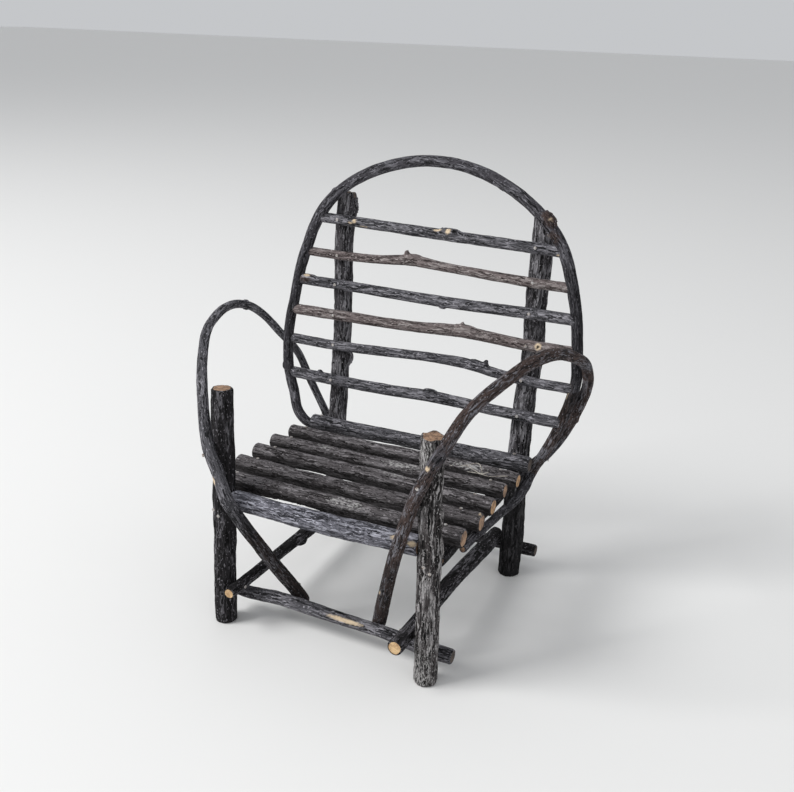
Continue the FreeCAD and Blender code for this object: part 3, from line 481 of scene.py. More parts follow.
def grow(name, rows, finish, cut=old_cut, sides=SLAT_SIDES, marks=(), lumps=1.0, broken=0, underside_shade=0):
    """A finished twig that stands for the measured node of the same name.

    lumps is how rough it is, and broken how ragged its last end is. The last argument sets how
    dark a painted shade on the twig's lower half is. A twig that starts at height zero is a leg,
    and its foot is cut level with the floor. Nothing stands out of the measured chair's box.
    """
    along, line, ahead = smooth_line(rows)
    seed = SEED_STEP * (len(finished_twigs) + 1)
    swell = np.array([noise_at(s / SWELL_LENGTH, seed, 0) for s in along])
    from_end = np.minimum(along, along[-1] - along)
    line[:, 3] *= 1 + SWELL_SHARE * lumps * swell
    line[:, 3] *= 1 - END_SHARE * (1 - eased(from_end / END_ROUNDING))
    radii = line[:, 3:]
    twig = ring_mesh(name + "_twig", line, sides)
    mesh = twig.data
    places = np.empty(len(mesh.vertices) * 3)
    mesh.vertices.foreach_get("co", places)
    places = places.reshape(len(line), -1, 3) / MM
    outward = (places - line[:, None, :3]) / line[:, None, 3:]
    turn = np.arange(places.shape[1]) * (2 * math.pi / places.shape[1])
    grain = np.empty_like(places)
    grain[..., 0] = np.cos(turn) * radii
    grain[..., 1] = np.sin(turn) * radii
    grain[..., 2] = along[:, None] + GRAIN_JUMP * seed
    push, paint = painted_spots(places, ahead, marks, seed)
    push += rough_bark(grain, radii, lumps)
    # Painted shade: the twig's lower half is darkened where the slats beside it and the rails below
    # would shade it.
    if underside_shade:
        underside_dark = underside_shade * eased((SHADE_LINE - outward[..., 2]) * SHADE_FADE)
        paint[..., SHADE_CHANNEL] = np.maximum(paint[..., SHADE_CHANNEL], underside_dark)
    places += outward * push[..., None]
    if broken:
        places += ahead[:, None, :] * torn_end(along, turn, seed, broken)[..., None]
    if rows[0][2] == 0:
        places[0] -= ahead[0] * (places[0, :, 2:] / ahead[0, 2])
    places = np.clip(places, low_corner, high_corner)
    mesh.vertices.foreach_set("co", (places * MM).ravel())
    grain_data = mesh.attributes.new("grain", "FLOAT_VECTOR", "POINT").data
    grain_data.foreach_set("vector", grain.ravel())
    paint_data = mesh.attributes.new("marks", "FLOAT_COLOR", "POINT").data
    paint_data.foreach_set("color", paint.ravel())
    close_ends(twig)
    mesh.materials.append(finish)
    mesh.materials.append(cut)
    for face in mesh.polygons:
        face.material_index = 1 if len(face.vertices) > 4 else 0
    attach(twig, "root")
    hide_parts(name)
    finished_twigs[name] = twig
    print(name, round(along[-1]), "mm long,", len(mesh.polygons), "faces")


# %% [markdown]
# ## Legs
# Four thick twigs carry everything. They are the oldest wood, so their bark is deepest and they
# get the most sides. The two at the back are longer and lean; the left one was broken, not sawn,
# on top. Each row is a place on the twig's axis and its radius there.

# %% The four legs
grow("front_leg_left", [
    (-77.4, -107, 0, 9.4), (-77.1, -107, 50.5, 9.4), (-76.6, -105.8, 86.9, 9.4),
    (-76.3, -105.8, 129.7, 9.4), (-76.6, -104.8, 134, 9.2), (-76.8, -104.8, 181, 9.1),
    (-77.2, -103.8, 211, 9.0),
], charcoal_bark, sides=LEG_SIDES, lumps=1.4)
grow("front_leg_right", [
    (111.1, -107, 0, 9.4), (110.7, -107, 50.5, 9.4), (110.2, -108, 86.9, 9.2),
    (109.9, -108, 129.7, 9.2), (109.6, -108.8, 134, 9.0), (109.2, -108.8, 181, 9.0),
    (109.4, -110, 211, 9.4),
], frosted_bark, sides=LEG_SIDES, lumps=1.7, broken=1.6, marks=[
    ("lichen", (107, -116, 12), 14, 0, 1.6), ("lichen", (106, -117, 196), 12, 0, 1.4),
    ("knot", (118, -106, 145), 6, 2.2, 1.8),
])
grow("back_leg_left", [
    (-79.9, 85.5, 0, 8.9), (-80.8, 90.1, 40.8, 8.9), (-81.8, 95.1, 84.6, 8.6),
    (-82.7, 103.9, 163, 9.0), (-83.1, 108.9, 207.6, 8.9), (-83.5, 109.7, 214.4, 8.9),
    (-85.8, 114.3, 255, 8.9), (-88, 118.6, 293.6, 9.2), (-87.9, 119.4, 300.3, 9.3),
    (-86.2, 123.2, 336, 9.3),
], weathered_bark, sides=LEG_SIDES, cut=grey_cut, lumps=1.6, broken=6, marks=[
    ("knot", (-76, 107, 177), 5, 3.4, 1.5), ("knot", (-78, 120, 322), 6, 2.0, 1.6),
    # Painted shade on the foot of the leg, under the seat.
    ("middle_shade", (-80, 90, 45), 36, 0, 1.6),
])
grow("back_leg_right", [
    (112.1, 85.5, 0, 10.4), (111.6, 90.1, 40.8, 10.4), (109.5, 95.1, 84.6, 9.9),
    (108.6, 101.9, 145, 9.8), (108.8, 105.5, 177, 9.8), (110.8, 108.6, 205, 9.8),
    (111, 109.7, 214.4, 9.8), (108.9, 113.7, 250, 9.8), (108.9, 118.6, 293.6, 9.8),
    (108.6, 120.4, 309, 9.8), (107.7, 123.2, 334, 9.2),
], weathered_bark, sides=LEG_SIDES, cut=grey_cut, lumps=1.5, marks=[
    # Painted shade on the low part of the leg, under the seat.
    ("deep_shade", (112, 90, 34), 44, 0, 1.5), ("brown", (115, 116, 322), 4, 0, 2),
    ("bare", (115, 115, 321), 1.4, 0.8, 2.5),
])

# %% [markdown]
# ## Seat
# Two rails run from leg to leg, a thick pale twig closes the front edge, and six slats lie side
# by side on the rails. Their sawn right ends are turned to the camera, and are the brightest wood
# of the seat.

# %% The rails and the front edge
grow("seat_rail_left", [
    (-78.7, -96.1, 105.2, 7.0), (-81, -4.1, 105, 7.0), (-81.7, 6.9, 105, 6.9),
    (-83.8, 87.8, 104.8, 6.9),
], charcoal_bark)
grow("seat_rail_right", [
    (112.3, -98.5, 105.2, 7.0), (112.2, -6.1, 105, 7.0), (112.6, 5, 105, 6.9),
    (112.5, 86.3, 104.8, 6.9),
], charcoal_bark)
grow("front_seat_rail", [
    (-66.7, -107.4, 117, 7.9), (-53.3, -106.8, 116.8, 8.4), (-16.5, -106.8, 116.2, 8.4),
    (16.9, -106.7, 115.9, 8.7), (73.7, -105.3, 116.6, 8.4), (100.4, -105, 117, 8.4),
], rail_bark, sides=RAIL_SIDES, lumps=1.2, marks=[
    ("bare", (84, -111, 122), 2.4, 0.1, 2.6), ("bare", (97, -112, 121), 2.6, 0.1, 1.6),
    ("knot", (-32, -102.5, 123.5), 4.5, -0.8, 6),
])

# %% The six seat slats
# Each seat slat gets painted shade on its lower half, as if its neighbours and the rails shaded it.
grow("seat_slat_1", [
    (-97.6, -82.8, 120.7, 8.0), (-75, -83, 120.7, 8.0), (-20, -83.2, 120.9, 7.9),
    (30, -83.2, 120.9, 7.9), (108.3, -83.9, 120.3, 7.8), (127.7, -84, 120.3, 7.8),
], seat_bark, lumps=1.2, underside_shade=0.75, marks=[
    ("lichen", (27, -87, 127), 5, 0, 3.2), ("knot", (-24, -87, 114), 4.5, -1.7, 7),
    ("knot", (48, -87, 114), 4, -2.6, 1.7),
])
grow("seat_slat_2", [
    (-99.7, -50, 120, 8.0), (-75.8, -50.3, 119.9, 8.0), (-35, -51, 119.9, 7.5),
    (6, -51.6, 119.8, 7.6), (50, -52, 120.2, 7.9), (108.2, -52.5, 120.2, 7.8),
    (130.2, -52.7, 120.2, 7.8),
], seat_bark, lumps=1.2, underside_shade=0.75, marks=[
    ("knot", (-35, -45.5, 124.5), 4.5, -1.1, 3.6), ("knot", (6, -46, 124.5), 4, -1.2, 1.2),
    ("knot", (127, -54, 125), 4, 1.4, 1), ("bare", (129, -54, 127), 1.6, 0, 1),
])
grow("seat_slat_3", [
    (-101.1, -20.4, 119.9, 7.6), (-76.6, -20.6, 119.9, 7.6), (-35, -20.6, 120.4, 7.5),
    (15.8, -20.7, 120.7, 7.7), (108.2, -21.7, 119.9, 7.6), (128.6, -21.8, 119.9, 7.6),
], seat_bark, cut=amber_cut, lumps=1.2, underside_shade=0.75, marks=[
    ("lichen", (38, -18, 127), 5.5, 0, 3.4), ("knot", (-35, -26, 115.5), 4.5, -0.6, 3.4),
])
grow("seat_slat_4", [
    (-101.5, 8.9, 119, 6.9), (-77.8, 9.3, 119, 6.9), (15.4, 10.6, 117.8, 7.1),
    (108.6, 13, 119, 6.9), (126.1, 13.4, 119, 6.9),
], seat_bark, lumps=1.2, underside_shade=0.75, marks=[
    ("lichen", (-45, 8, 125), 3.6, 0, 2.4), ("lichen", (31, 8, 125), 5, 0, 3.4),
])
grow("seat_slat_5", [
    (-98.7, 37.3, 118.9, 6.9), (-78.5, 37.4, 118.9, 6.9), (-20, 37.9, 118.9, 6.7),
    (70, 38, 119.6, 7.3), (108.6, 37.8, 119.2, 7.2), (129.3, 37.8, 118.9, 6.9),
], seat_bark, cut=amber_cut, lumps=1.2, underside_shade=0.75, marks=[
    ("lichen", (84, 34, 125), 3.5, 0, 5),
])
grow("seat_slat_6", [
    (-92.7, 67.7, 119.6, 7.4), (-79.3, 68.1, 119.6, 7.4), (-50, 68.8, 119.3, 7.5),
    (-5, 69.8, 120.2, 6.9), (70, 71.8, 118.8, 7.9), (108.5, 73.3, 119.3, 7.8),
    (127.7, 73.8, 119.6, 7.5),
], slate_bark, cut=grey_cut, underside_shade=0.5)

# %% [markdown]
# ## Dry rootlets
# A few pale rootlets of some climbing plant still cling to the right half of the fifth slat. They
# are thin round-bevelled curves laid on the bark, and they are joined to the slat, as they can't be
# lifted off.

# %% Rootlets on the fifth slat
ROOTLET_RADIUS = 0.32
ROOTLET_SIDES = 8
dry_root, root_tree, root_shader = new_finish("dry_rootlet")
root_spot = step(root_tree, "ShaderNodeTexCoord").outputs["Object"]
root_inputs = {"Vector": root_spot, "Scale": 400.0}
root_fade = step(root_tree, "ShaderNodeTexNoise", root_inputs).outputs["Fac"]
root_fade = ramp(root_tree, root_fade, low=0.4, high=0.65)
root_colour = mixed(root_tree, root_fade, (0.55, 0.52, 0.46), (0.22, 0.19, 0.16))
root_tree.links.new(root_colour, root_shader.inputs["Base Color"])
root_shader.inputs["Roughness"].default_value = 0.8
ROOTLETS = (
    [(58, 32.5, 123.8), (65, 31.9, 123.0), (73, 31.6, 122.6), (82, 33.7, 125.2),
     (92, 38.4, 126.9), (96, 34, 125.6), (98, 31.4, 122.6)],
    [(83, 31.2, 120.6), (94, 31.1, 121.2), (107, 31.0, 121.0), (114, 31.6, 122.8),
     (121, 32.4, 124.1)],
    [(82, 33.7, 125.2), (90, 31.9, 123.2), (98, 31.3, 121.6), (104, 32.3, 124)],
)
threads = []
for places in ROOTLETS:
    line = smooth_line([(*place, ROOTLET_RADIUS) for place in places])[1]
    thread = ring_mesh("rootlet", line, ROOTLET_SIDES)
    bpy.ops.object.mode_set(mode="EDIT")
    bpy.ops.mesh.select_all(action="SELECT")
    bpy.ops.mesh.fill_holes(sides=0)
    bpy.ops.mesh.normals_make_consistent(inside=False)
    bpy.ops.object.mode_set(mode="OBJECT")
    thread.data.materials.append(dry_root)
    threads.append(thread)
bpy.ops.object.select_all(action="DESELECT")
for piece in (*threads, finished_twigs["seat_slat_5"]):
    piece.select_set(True)
bpy.context.view_layer.objects.active = finished_twigs["seat_slat_5"]
bpy.ops.object.join()
print("rootlets joined to the fifth slat:", len(threads))

# %% [markdown]
# ## Back
# One long young twig makes the hoop. It was bent while green, so its bark is smooth and its
# thickness falls from the middle to both tails, which pass the back legs and run forward under the
# ends of the seat slats. Six thin slats cross the back legs; each has its own bends and knots.

# %% The hoop and its tails
grow("back_hoop", [
    (-93.8, -53.1, 108.4, 3.2), (-93.9, -39.2, 107, 3.2), (-93.7, 35.8, 99.4, 3.8),
    (-95.6, 61.7, 97.1, 4.1), (-94.9, 73.8, 96.8, 4.3), (-93, 86.1, 97.7, 4.4),
    (-93.8, 91.1, 99.6, 4.5), (-99, 90.3, 103.3, 4.6), (-103.8, 87.7, 106.5, 4.7),
    (-110.8, 83.8, 112, 4.8), (-116.5, 82.5, 118.7, 4.9), (-126.2, 87.1, 141.9, 5.0),
    (-129.1, 87.8, 149.9, 5.0), (-133.2, 89.3, 167.4, 5.0), (-134.8, 91.4, 184.1, 5.1),
    (-134.7, 93.5, 202, 5.1), (-133.5, 94.7, 213, 5.1), (-130.5, 96.7, 230.6, 5.1),
    (-128.8, 98, 242.3, 5.2), (-125.9, 100, 260, 5.2), (-123.5, 101.1, 270, 5.4),
    (-118.5, 103, 287.1, 5.4), (-112.7, 104.9, 304, 5.4), (-104.4, 106.7, 319.9, 5.4),
    (-95.9, 108, 330.9, 5.2), (-79.3, 109.7, 345.4, 5.1), (-60.1, 111, 356.7, 5.3),
    (-39.5, 111.9, 365, 5.3), (-10.3, 112.6, 371.9, 5.2), (19.9, 112.7, 372.9, 5.1),
    (46.8, 112.1, 368.5, 5.2), (72.4, 111.1, 359.3, 5.3), (96.1, 109.6, 346.1, 5.4),
    (117, 107.7, 329, 5.4), (127.5, 106.4, 316.6, 5.4), (136, 104.6, 301.3, 5.4),
    (141.2, 103, 287.1, 5.3), (146.5, 101.1, 270, 5.3), (149, 100, 260.6, 5.2),
    (152.4, 98.1, 243, 5.2), (153.9, 96.9, 232.4, 5.1), (156.1, 94.8, 214.5, 5.1),
    (157.3, 93.3, 200.6, 5.0), (155, 91.3, 182.9, 5.0), (151.1, 89.7, 167.9, 4.9),
    (145.7, 88.1, 150.8, 4.9), (142.4, 86, 142, 4.8), (136.9, 84.9, 128.9, 4.8),
    (133.3, 87.1, 122, 4.8), (126.3, 92.7, 109.1, 4.8), (124.3, 92.5, 104.4, 4.8),
    (123.6, 89.6, 101.4, 4.7), (124.4, 78.8, 98.1, 4.6), (125.6, 61.9, 96.7, 4.5),
    (125.6, 4.6, 101.3, 3.8), (125.6, -65.3, 107.8, 3.2), (125.6, -79.3, 108.4, 3.2),
], young_bark, sides=THIN_SIDES, lumps=0.9, marks=[
    ("knot", (118, 104, 336), 8, 3.2, 1.1), ("bare", (118.5, 102.5, 334.5), 2.6, 0.4, 1.2),
    ("brown", (118, 104, 335), 8, 0, 1.2), ("brown", (124, 104, 320), 5, 0, 1.8),
    ("knot", (70, 111, 354), 3, 0.4, 1.2), ("knot", (-95, 108, 340), 2.2, 0.8, 1.2),
    ("knot", (-138, 86, 164), 3, 1.2, 1.2), ("bare", (152, 88, 190), 1.6, -0.2, 6),
    # The shade marks are painted shade: they darken the hoop's right side, its left side and its right
    # tail.
    ("brown", (140, 88, 140), 26, 0, 3), ("middle_shade", (154, 97, 228), 62, 0, 1.4),
    ("faint_shade", (-131, 95, 222), 55, 0, 1.5), ("faint_shade", (125.6, 20, 101), 60, 0, 1.4),
])

# %% The six back slats
grow("back_slat_1", [
    (-108.6, 107.1, 312.3, 4.9), (-82.8, 106.9, 311.9, 4.9), (10.6, 106.2, 309.9, 5.0),
    (104, 105.9, 308.4, 5.0), (133.3, 105.8, 307.8, 5.0),
], slate_bark, sides=THIN_SIDES, marks=[
    ("knot", (26, 104, 314), 7, 1.9, 1.5), ("bare", (26, 102, 314), 2.8, 0.8, 1.1),
    ("dark", (31, 103, 314), 2.2, 0, 1.2), ("bare", (-69, 102, 313), 2.0, 0.7, 1.2),
    ("bare", (-73, 102, 311), 1.1, 0.2, 2.2), ("bare", (15, 103, 314), 1.3, 0, 4),
    ("bare", (-59, 102, 308.6), 0.9, 0, 9), ("bare", (129, 101, 305), 1.3, 0.3, 1.6),
])
grow("back_slat_2", [
    (-125, 103.6, 279, 4.2), (-81.5, 103.8, 278.6, 4.2), (-44.2, 103.7, 279.8, 4.2),
    (-5.1, 103.1, 283.2, 5.0), (21, 103.4, 281.4, 4.3), (71.3, 103.1, 279.4, 4.4),
    (104.8, 103, 278.3, 4.5), (145.7, 102.8, 278.1, 4.6),
], russet_bark, sides=THIN_SIDES, marks=[
    ("knot", (-9, 103, 287), 5, 1.3, 1.9), ("knot", (-14, 103, 288), 2.4, 3.2, 0.9),
])
grow("back_slat_3", [
    (-127.4, 100, 251, 4.9), (-80.9, 99.8, 251.2, 4.9), (-25.1, 99.6, 250.4, 5.0),
    (34.5, 99.4, 250, 5.2), (105.2, 99.1, 251.4, 5.2), (152.2, 98.9, 251.6, 5.2),
], slate_bark, sides=THIN_SIDES, marks=[
    ("bare", (-117, 98, 255), 1.8, 0.3, 2.2), ("knot", (-117, 99, 255), 6, 1.2, 1.4),
    ("brown", (-118, 98, 254), 6, 0, 1.4), ("knot", (26, 97, 246), 3, 1.4, 1.2),
])
grow("back_slat_4", [
    (-132, 96.5, 221.4, 5.1), (-80.2, 96.3, 221.8, 5.1), (3.4, 96, 223.3, 5.1),
    (49.8, 95.8, 226.1, 5.6), (75.8, 95.8, 224.8, 5.2), (105.6, 95.7, 223.4, 5.1),
    (155.9, 95.5, 223.8, 5.1),
], russet_bark, sides=THIN_SIDES, marks=[
    ("knot", (50, 96, 231), 5, 1.2, 2), ("knot", (47, 96, 231), 1.8, 2.2, 0.9),
    ("knot", (121, 91, 225), 5, 0.9, 1), ("bare", (121, 91, 225), 3.4, 0.3, 1),
    ("dark", (121, 90.5, 225), 1.5, -0.4, 1),
])
grow("back_slat_5", [
    (-134.8, 94.5, 191.8, 4.7), (-79.2, 94, 192, 4.7), (-33.2, 93.6, 194.3, 4.6),
    (22, 92.7, 197.5, 4.5), (55.1, 92.8, 197.3, 5.0), (79, 92.6, 193.9, 4.5),
    (104.8, 92.4, 191.7, 4.5), (156.2, 91.9, 191.4, 4.5),
], slate_bark, sides=THIN_SIDES, marks=[
    ("knot", (66, 93, 200), 5, 1.4, 1.6), ("knot", (72.5, 93, 198), 3.0, 3.4, 0.9),
])
grow("back_slat_6", [
    (-131.1, 89.8, 158.3, 5.4), (-78.4, 89.4, 158, 5.4), (-23.3, 89, 158.6, 5.4),
    (26.2, 88.6, 160.8, 5.5), (68.5, 88.3, 159.8, 5.2), (105.2, 88, 159.3, 5.2),
    (148.4, 87.7, 159.5, 5.2),
], slate_bark, sides=THIN_SIDES, marks=[
    ("knot", (21, 90, 167), 4.5, 1.6, 1.5), ("knot", (-98, 90, 163), 2.6, 2, 1),
])

# %% [markdown]
# ## Arms
# Each arm is one bent twig. It starts behind the front stretcher, crosses the front leg, swings
# out and back in a wide loop, and ends beside the foot of the hoop. The left one is greyer. The
# right one is redder and has a pruned side shoot, a pale round scar where a branch was cut away.

# %% The left and the right arm
grow("arm_left", [
    (-19.9, -72.6, 15.7, 5.6), (-20.9, -75.7, 20.7, 5.8), (-23.1, -83, 32.4, 5.8),
    (-30.6, -101, 61.3, 5.7), (-38.3, -111.4, 82, 5.6), (-52.4, -121.8, 110.1, 5.5),
    (-60.2, -124.2, 122.9, 5.4), (-65, -123.6, 132.3, 5.3), (-72, -120.6, 145.8, 5.2),
    (-77.1, -120.3, 156.2, 5.1), (-81.8, -117.9, 162.6, 5.1), (-90.3, -109.2, 170.2, 5.0),
    (-109, -86.6, 191.6, 4.8), (-119.2, -73, 201.8, 4.7), (-137.2, -45.1, 216.5, 4.4),
    (-150.6, -20.9, 225.3, 4.3), (-161.6, 9.5, 230.4, 4.2), (-167.3, 31.5, 231.6, 4.2),
    (-169.7, 48.4, 230.6, 4.1), (-170, 66.7, 226.7, 4.1), (-168.4, 79.5, 221.2, 4.1),
    (-165.7, 88.8, 214.5, 4.0), (-162.2, 95, 207.9, 4.0), (-158.1, 99.1, 201.3, 4.0),
    (-153.2, 101.9, 194.5, 4.0), (-147.1, 103.5, 188.4, 4.0), (-138.1, 104.2, 181.1, 3.9),
    (-131.5, 103.8, 174.6, 3.9), (-116.8, 101.6, 151, 3.9), (-99.8, 101.9, 120.7, 3.8),
    (-92.9, 101.7, 108.5, 3.8),
], slate_bark, sides=THIN_SIDES, marks=[
    ("bare", (-111, -88, 193), 1.3, -0.2, 4), ("bare", (-72, -126, 140), 1.8, 0.2, 2.4),
    # The shade mark is painted shade on the low part of the arm.
    ("middle_shade", (-34, -104, 68), 56, 0, 1.4), ("brown", (-28, -98, 50), 50, 0, 1.4),
    ("knot", (-169, 70, 230), 2.6, 1, 1.2), ("knot", (-170, 70, 221), 2.4, 1, 1.2),
])
grow("arm_right", [
    (55, -77.2, 19.9, 5.9), (59.2, -83.5, 31.7, 5.9), (67.7, -96.5, 56, 5.7),
    (74.3, -104.9, 74.8, 5.6), (86.3, -118.8, 111, 5.4), (89.4, -120.5, 120.7, 5.4),
    (92.8, -121, 133.2, 5.3), (101.1, -121.5, 161.5, 5.1), (105.7, -123, 172.6, 5.1),
    (109, -123.7, 179.8, 5.1), (111.9, -123.7, 185.8, 5.0), (115.3, -122.9, 193, 5.0),
    (119.1, -120.6, 201.3, 5.0), (124.3, -113.9, 213.7, 5.0), (127.9, -103.8, 223.4, 5.0),
    (131.9, -93.5, 230.9, 5.0), (140, -77.4, 240.4, 5.0), (146.2, -62.6, 246.3, 5.0),
    (151.7, -44, 250.7, 5.0), (156.5, -24.6, 252.4, 5.0), (160.8, -5.2, 251.3, 5.0),
    (164.5, 13.8, 247.2, 4.9), (168.5, 43.4, 236.1, 4.9), (169.1, 71.1, 222.9, 4.9),
    (168.5, 83.4, 214, 4.9), (167.5, 93.6, 202.6, 4.9), (166.4, 97.9, 195.3, 4.9),
    (164.6, 100.8, 187.6, 4.9), (161.9, 102.4, 179.1, 4.9), (138.2, 103.2, 127, 4.8),
    (132.5, 103.7, 118.9, 4.8), (122.9, 104.5, 108.8, 4.8),
], young_bark, sides=THIN_SIDES, marks=[
    ("brown", (84, -112, 100), 70, 0, 2), ("brown", (150, -45, 245), 75, 0, 2),
    ("bare", (114, -127, 193), 2.2, 0.3, 1), ("knot", (114, -127, 193), 4, 0.5, 1),
    ("bare", (75, -112, 88), 1.1, -0.2, 9), ("bare", (69, -106, 68), 1.4, 0, 2),
    ("brown", (162, 100, 185), 30, 0, 2), ("knot", (158, 103, 159), 3, 1, 1.2),
    # Painted shade on the low part of the arm.
    ("faint_shade", (70, -98, 60), 50, 0, 1.4),
])

# %% [markdown]
# ## Stretchers
# Four twigs low down hold the legs apart. Their ends run on past the legs and show sawn wood. The
# front one has lost a strip of bark, and the pale wood under it is the chair's most visible scar.

# %% The stretchers
grow("side_stretcher_left", [
    (-63.2, -122.5, 36.6, 5.3), (-63, -94, 36.4, 5.1), (-64.1, -22.4, 34.8, 5.4),
    (-64.8, 10.2, 33.4, 5.9), (-65.9, 70.9, 31, 5.1), (-66.4, 96.9, 30.1, 5.1),
], charcoal_bark, sides=THIN_SIDES, cut=fresh_cut, marks=[
    ("knot", (-62, -5, 28), 5, 2.2, 1.2),
])
grow("side_stretcher_right", [
    (94.7, -132, 40.3, 6.5), (94.5, -90.8, 38.6, 6.5), (94.5, -17.3, 39.2, 7.0),
    (93.7, 69.5, 32.1, 7.4), (93.6, 97, 31, 7.4),
], charcoal_bark, cut=fresh_cut)
grow("front_stretcher", [
    (-83.3, -91.9, 22.5, 5.3), (-62.3, -91.8, 22, 5.3), (-37, -91.7, 24.3, 5.7),
    (-3.3, -91.5, 23.5, 5.7), (30.3, -91.3, 22.3, 5.3), (68.1, -91.1, 21.4, 5.3),
    (84.9, -91.1, 19.8, 5.8), (101.7, -91, 18.2, 6.3), (127, -90.9, 17.6, 6.3),
], slate_bark, sides=THIN_SIDES, cut=grey_cut, marks=[
    ("bare", (32, -96, 25), 2.3, -0.5, 8), ("dark", (26, -92, 28), 1.3, 0.8, 6),
])
grow("rear_stretcher", [
    (-95.3, 102.8, 18.5, 6.0), (-63.6, 103, 18.5, 6.0), (18, 103.6, 19.7, 6.2),
    (99.6, 104.1, 18.5, 5.8), (131.4, 104.4, 18.5, 5.8),
], charcoal_bark, sides=THIN_SIDES, cut=grey_cut)

# %% [markdown]
# ## Nails
# Wire nails hold every joint. Only their heads show. One nail is modelled, with a thin round head
# whose rim is rounded, and a copy is set over each measured nail. Each measured nail is found by
# merging its node's mesh and separating the loose parts. Its head is the wider of its two ends.

# %% Dull steel
def steel():
    finish, tree, shader = new_finish("nail_steel_worn")
    spot = step(tree, "ShaderNodeTexCoord").outputs["Object"]
    inputs = {"Vector": spot, "Scale": 900.0, "Detail": 3.0}
    stain = step(tree, "ShaderNodeTexNoise", inputs).outputs["Fac"]
    rusty = ramp(tree, stain, low=0.42, high=0.62)
    colour = mixed(tree, rusty, (0.52, 0.51, 0.50), (0.20, 0.15, 0.12))
    tree.links.new(colour, shader.inputs["Base Color"])
    tree.links.new(ramp(tree, stain, low=0.1, high=1.2), shader.inputs["Roughness"])
    shader.inputs["Metallic"].default_value = 0.4
    return finish


worn_steel = steel()
print("steel:", worn_steel.name)

# %% Where the measured nails are
SAME_POINT = 0.01
END_DEPTH = 1.0


def farthest(points, start):
    return points[np.argmax(np.linalg.norm(points - start, axis=1))]


def spread(points):
    return np.linalg.norm(points - points.mean(axis=0), axis=1).max()


def measured_nails(node):
    """Each nail's head end and direction, from the loose parts of a copy of its node."""
    bpy.ops.object.select_all(action="DESELECT")
    copy = bpy.data.objects.new("nail_copy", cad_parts[node].data.copy())
    bpy.context.collection.objects.link(copy)
    copy.select_set(True)
    bpy.context.view_layer.objects.active = copy
    bpy.ops.object.mode_set(mode="EDIT")
    bpy.ops.mesh.select_all(action="SELECT")
    bpy.ops.mesh.remove_doubles(threshold=SAME_POINT * MM)
    bpy.ops.mesh.separate(type="LOOSE")
    bpy.ops.object.mode_set(mode="OBJECT")
    found = []
    for part in list(bpy.context.selected_objects):
        points = np.array([vertex.co for vertex in part.data.vertices])
        first = farthest(points, points[0])
        last = farthest(points, first)
        depth = (points - first) @ (last - first) / np.linalg.norm(last - first)
        near = points[depth < END_DEPTH * MM]
        far = points[depth > depth.max() - END_DEPTH * MM]
        tip, head = [end.mean(axis=0) for end in sorted((near, far), key=spread)]
        found.append((Vector(head), Vector(tip - head).normalized()))
        bpy.data.objects.remove(part)
    return found


# %% One nail, pointing along +Z
HEAD_RADIUS, HEAD_DEPTH, HEAD_RIM = 1.4, 0.8, 0.22
SHANK_RADIUS, SHANK_LENGTH = 0.7, 6


def one_nail():
    bpy.ops.object.select_all(action="DESELECT")
    bpy.ops.mesh.primitive_cylinder_add(
        vertices=16, radius=HEAD_RADIUS * MM, depth=HEAD_DEPTH * MM, location=(0, 0, -0.2 * MM))
    head = bpy.context.object
    bevel = head.modifiers.new("rim", "BEVEL")
    bevel.width, bevel.segments = HEAD_RIM * MM, 2
    bpy.ops.object.modifier_apply(modifier="rim")
    bpy.ops.mesh.primitive_cylinder_add(
        vertices=12, radius=SHANK_RADIUS * MM, depth=SHANK_LENGTH * MM, location=(0, 0, 3.2 * MM))
    head.select_set(True)
    bpy.context.view_layer.objects.active = head
    bpy.ops.object.join()
    bpy.ops.object.transform_apply(location=True, rotation=True, scale=True)
    bpy.ops.object.shade_smooth_by_angle(angle=math.radians(40))
    return head


pattern = one_nail()
print("one nail:", len(pattern.data.polygons), "faces")

# %% A nail head on every measured nail
NAIL_NODES = (
    "back_slat_nails", "seat_slat_nails", "seat_rail_nails", "stretcher_nails", "arm_nails",
)
UPRIGHT = Vector((0, 0, 1))
for node in NAIL_NODES:
    copies = []
    for head, inward in measured_nails(node):
        copy = bpy.data.objects.new(node + "_one", pattern.data.copy())
        bpy.context.collection.objects.link(copy)
        turn = UPRIGHT.rotation_difference(inward).to_matrix().to_4x4()
        copy.data.transform(Matrix.Translation(head) @ turn)
        copies.append(copy)
    bpy.ops.object.select_all(action="DESELECT")
    for copy in copies:
        copy.select_set(True)
    bpy.context.view_layer.objects.active = copies[0]
    bpy.ops.object.join()
    nails = bpy.context.object
    nails.name = nails.data.name = node + "_heads"
    nails.data.materials.clear()
    nails.data.materials.append(worn_steel)
    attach(nails, "root")
    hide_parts(node)
    print(node, len(copies), "nails")
bpy.data.objects.remove(pattern)

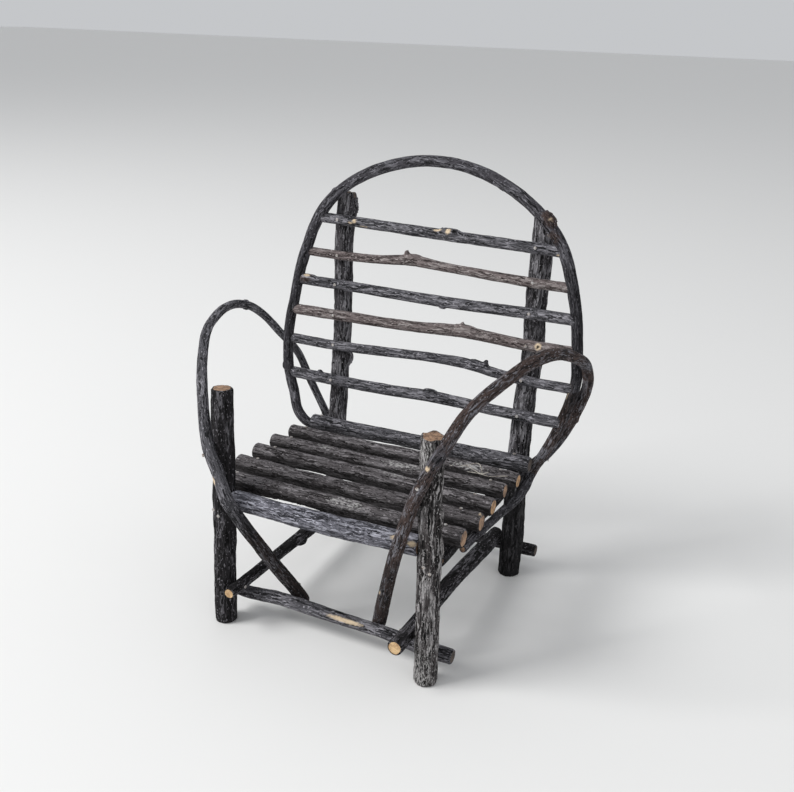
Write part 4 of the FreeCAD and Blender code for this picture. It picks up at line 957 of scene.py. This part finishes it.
# %% [markdown]
# ## Floor, light and camera
# The chair stands on a plain pale floor. A large soft lamp from the upper left gives the shade on
# the right side of each leg; a weaker one from the right and a pale sky keep the dark bark readable.
# The camera looks down on the chair from its front right, turned a little on its own axis.

# %% The floor
FLOOR_SIZE = 40
bpy.ops.object.select_all(action="DESELECT")
bpy.ops.mesh.primitive_plane_add(size=FLOOR_SIZE, location=(0, 0, 0))
floor = bpy.context.object
floor.name = "studio_floor"
floor_finish, _, floor_shader = new_finish("pale_floor")
floor_shader.inputs["Base Color"].default_value = (0.83, 0.825, 0.81, 1)
floor_shader.inputs["Roughness"].default_value = 0.7
floor.data.materials.append(floor_finish)
print("floor:", FLOOR_SIZE, "m wide")

# %% The lights
LAMP_AIM = Vector((0, 0, 0.15))
world = bpy.data.worlds.new("pale_studio")
bpy.context.scene.world = world
world.use_nodes = True
sky = world.node_tree.nodes["Background"]
sky.inputs["Color"].default_value = (0.93, 0.95, 0.98, 1)
sky.inputs["Strength"].default_value = 0.60


def soft_lamp(name, place, width, power):
    bpy.ops.object.light_add(type="AREA", location=place)
    lamp = bpy.context.object
    lamp.name = name
    lamp.data.size = width
    lamp.data.energy = power
    lamp.rotation_euler = (LAMP_AIM - Vector(place)).to_track_quat("-Z", "Y").to_euler()
    print(name, power, "W")


soft_lamp("window_light", (-2.4, -1.9, 2.8), width=1.7, power=128)
soft_lamp("fill_light", (1.4, -0.8, 0.9), width=1.2, power=1.5)

# %% The camera
CAMERA_PLACE = (0.3670, -0.7290, 0.4905)
AROUND, DOWNWARD, TILT = math.radians(24.914), math.radians(20.447), math.radians(1.949)
bpy.ops.object.camera_add()
camera = bpy.context.object
camera.name = "photo_camera"
turned = Matrix.Rotation(AROUND, 4, "Z") @ Matrix.Rotation(math.pi / 2 - DOWNWARD, 4, "X")
tilted = turned @ Matrix.Rotation(TILT, 4, "Z")
camera.matrix_world = Matrix.Translation(CAMERA_PLACE) @ tilted
camera.data.sensor_width = 36
camera.data.lens = 45.82
bpy.context.scene.camera = camera
bpy.context.scene.view_settings.view_transform = "Standard"
print("camera:", camera.data.lens, "mm lens")
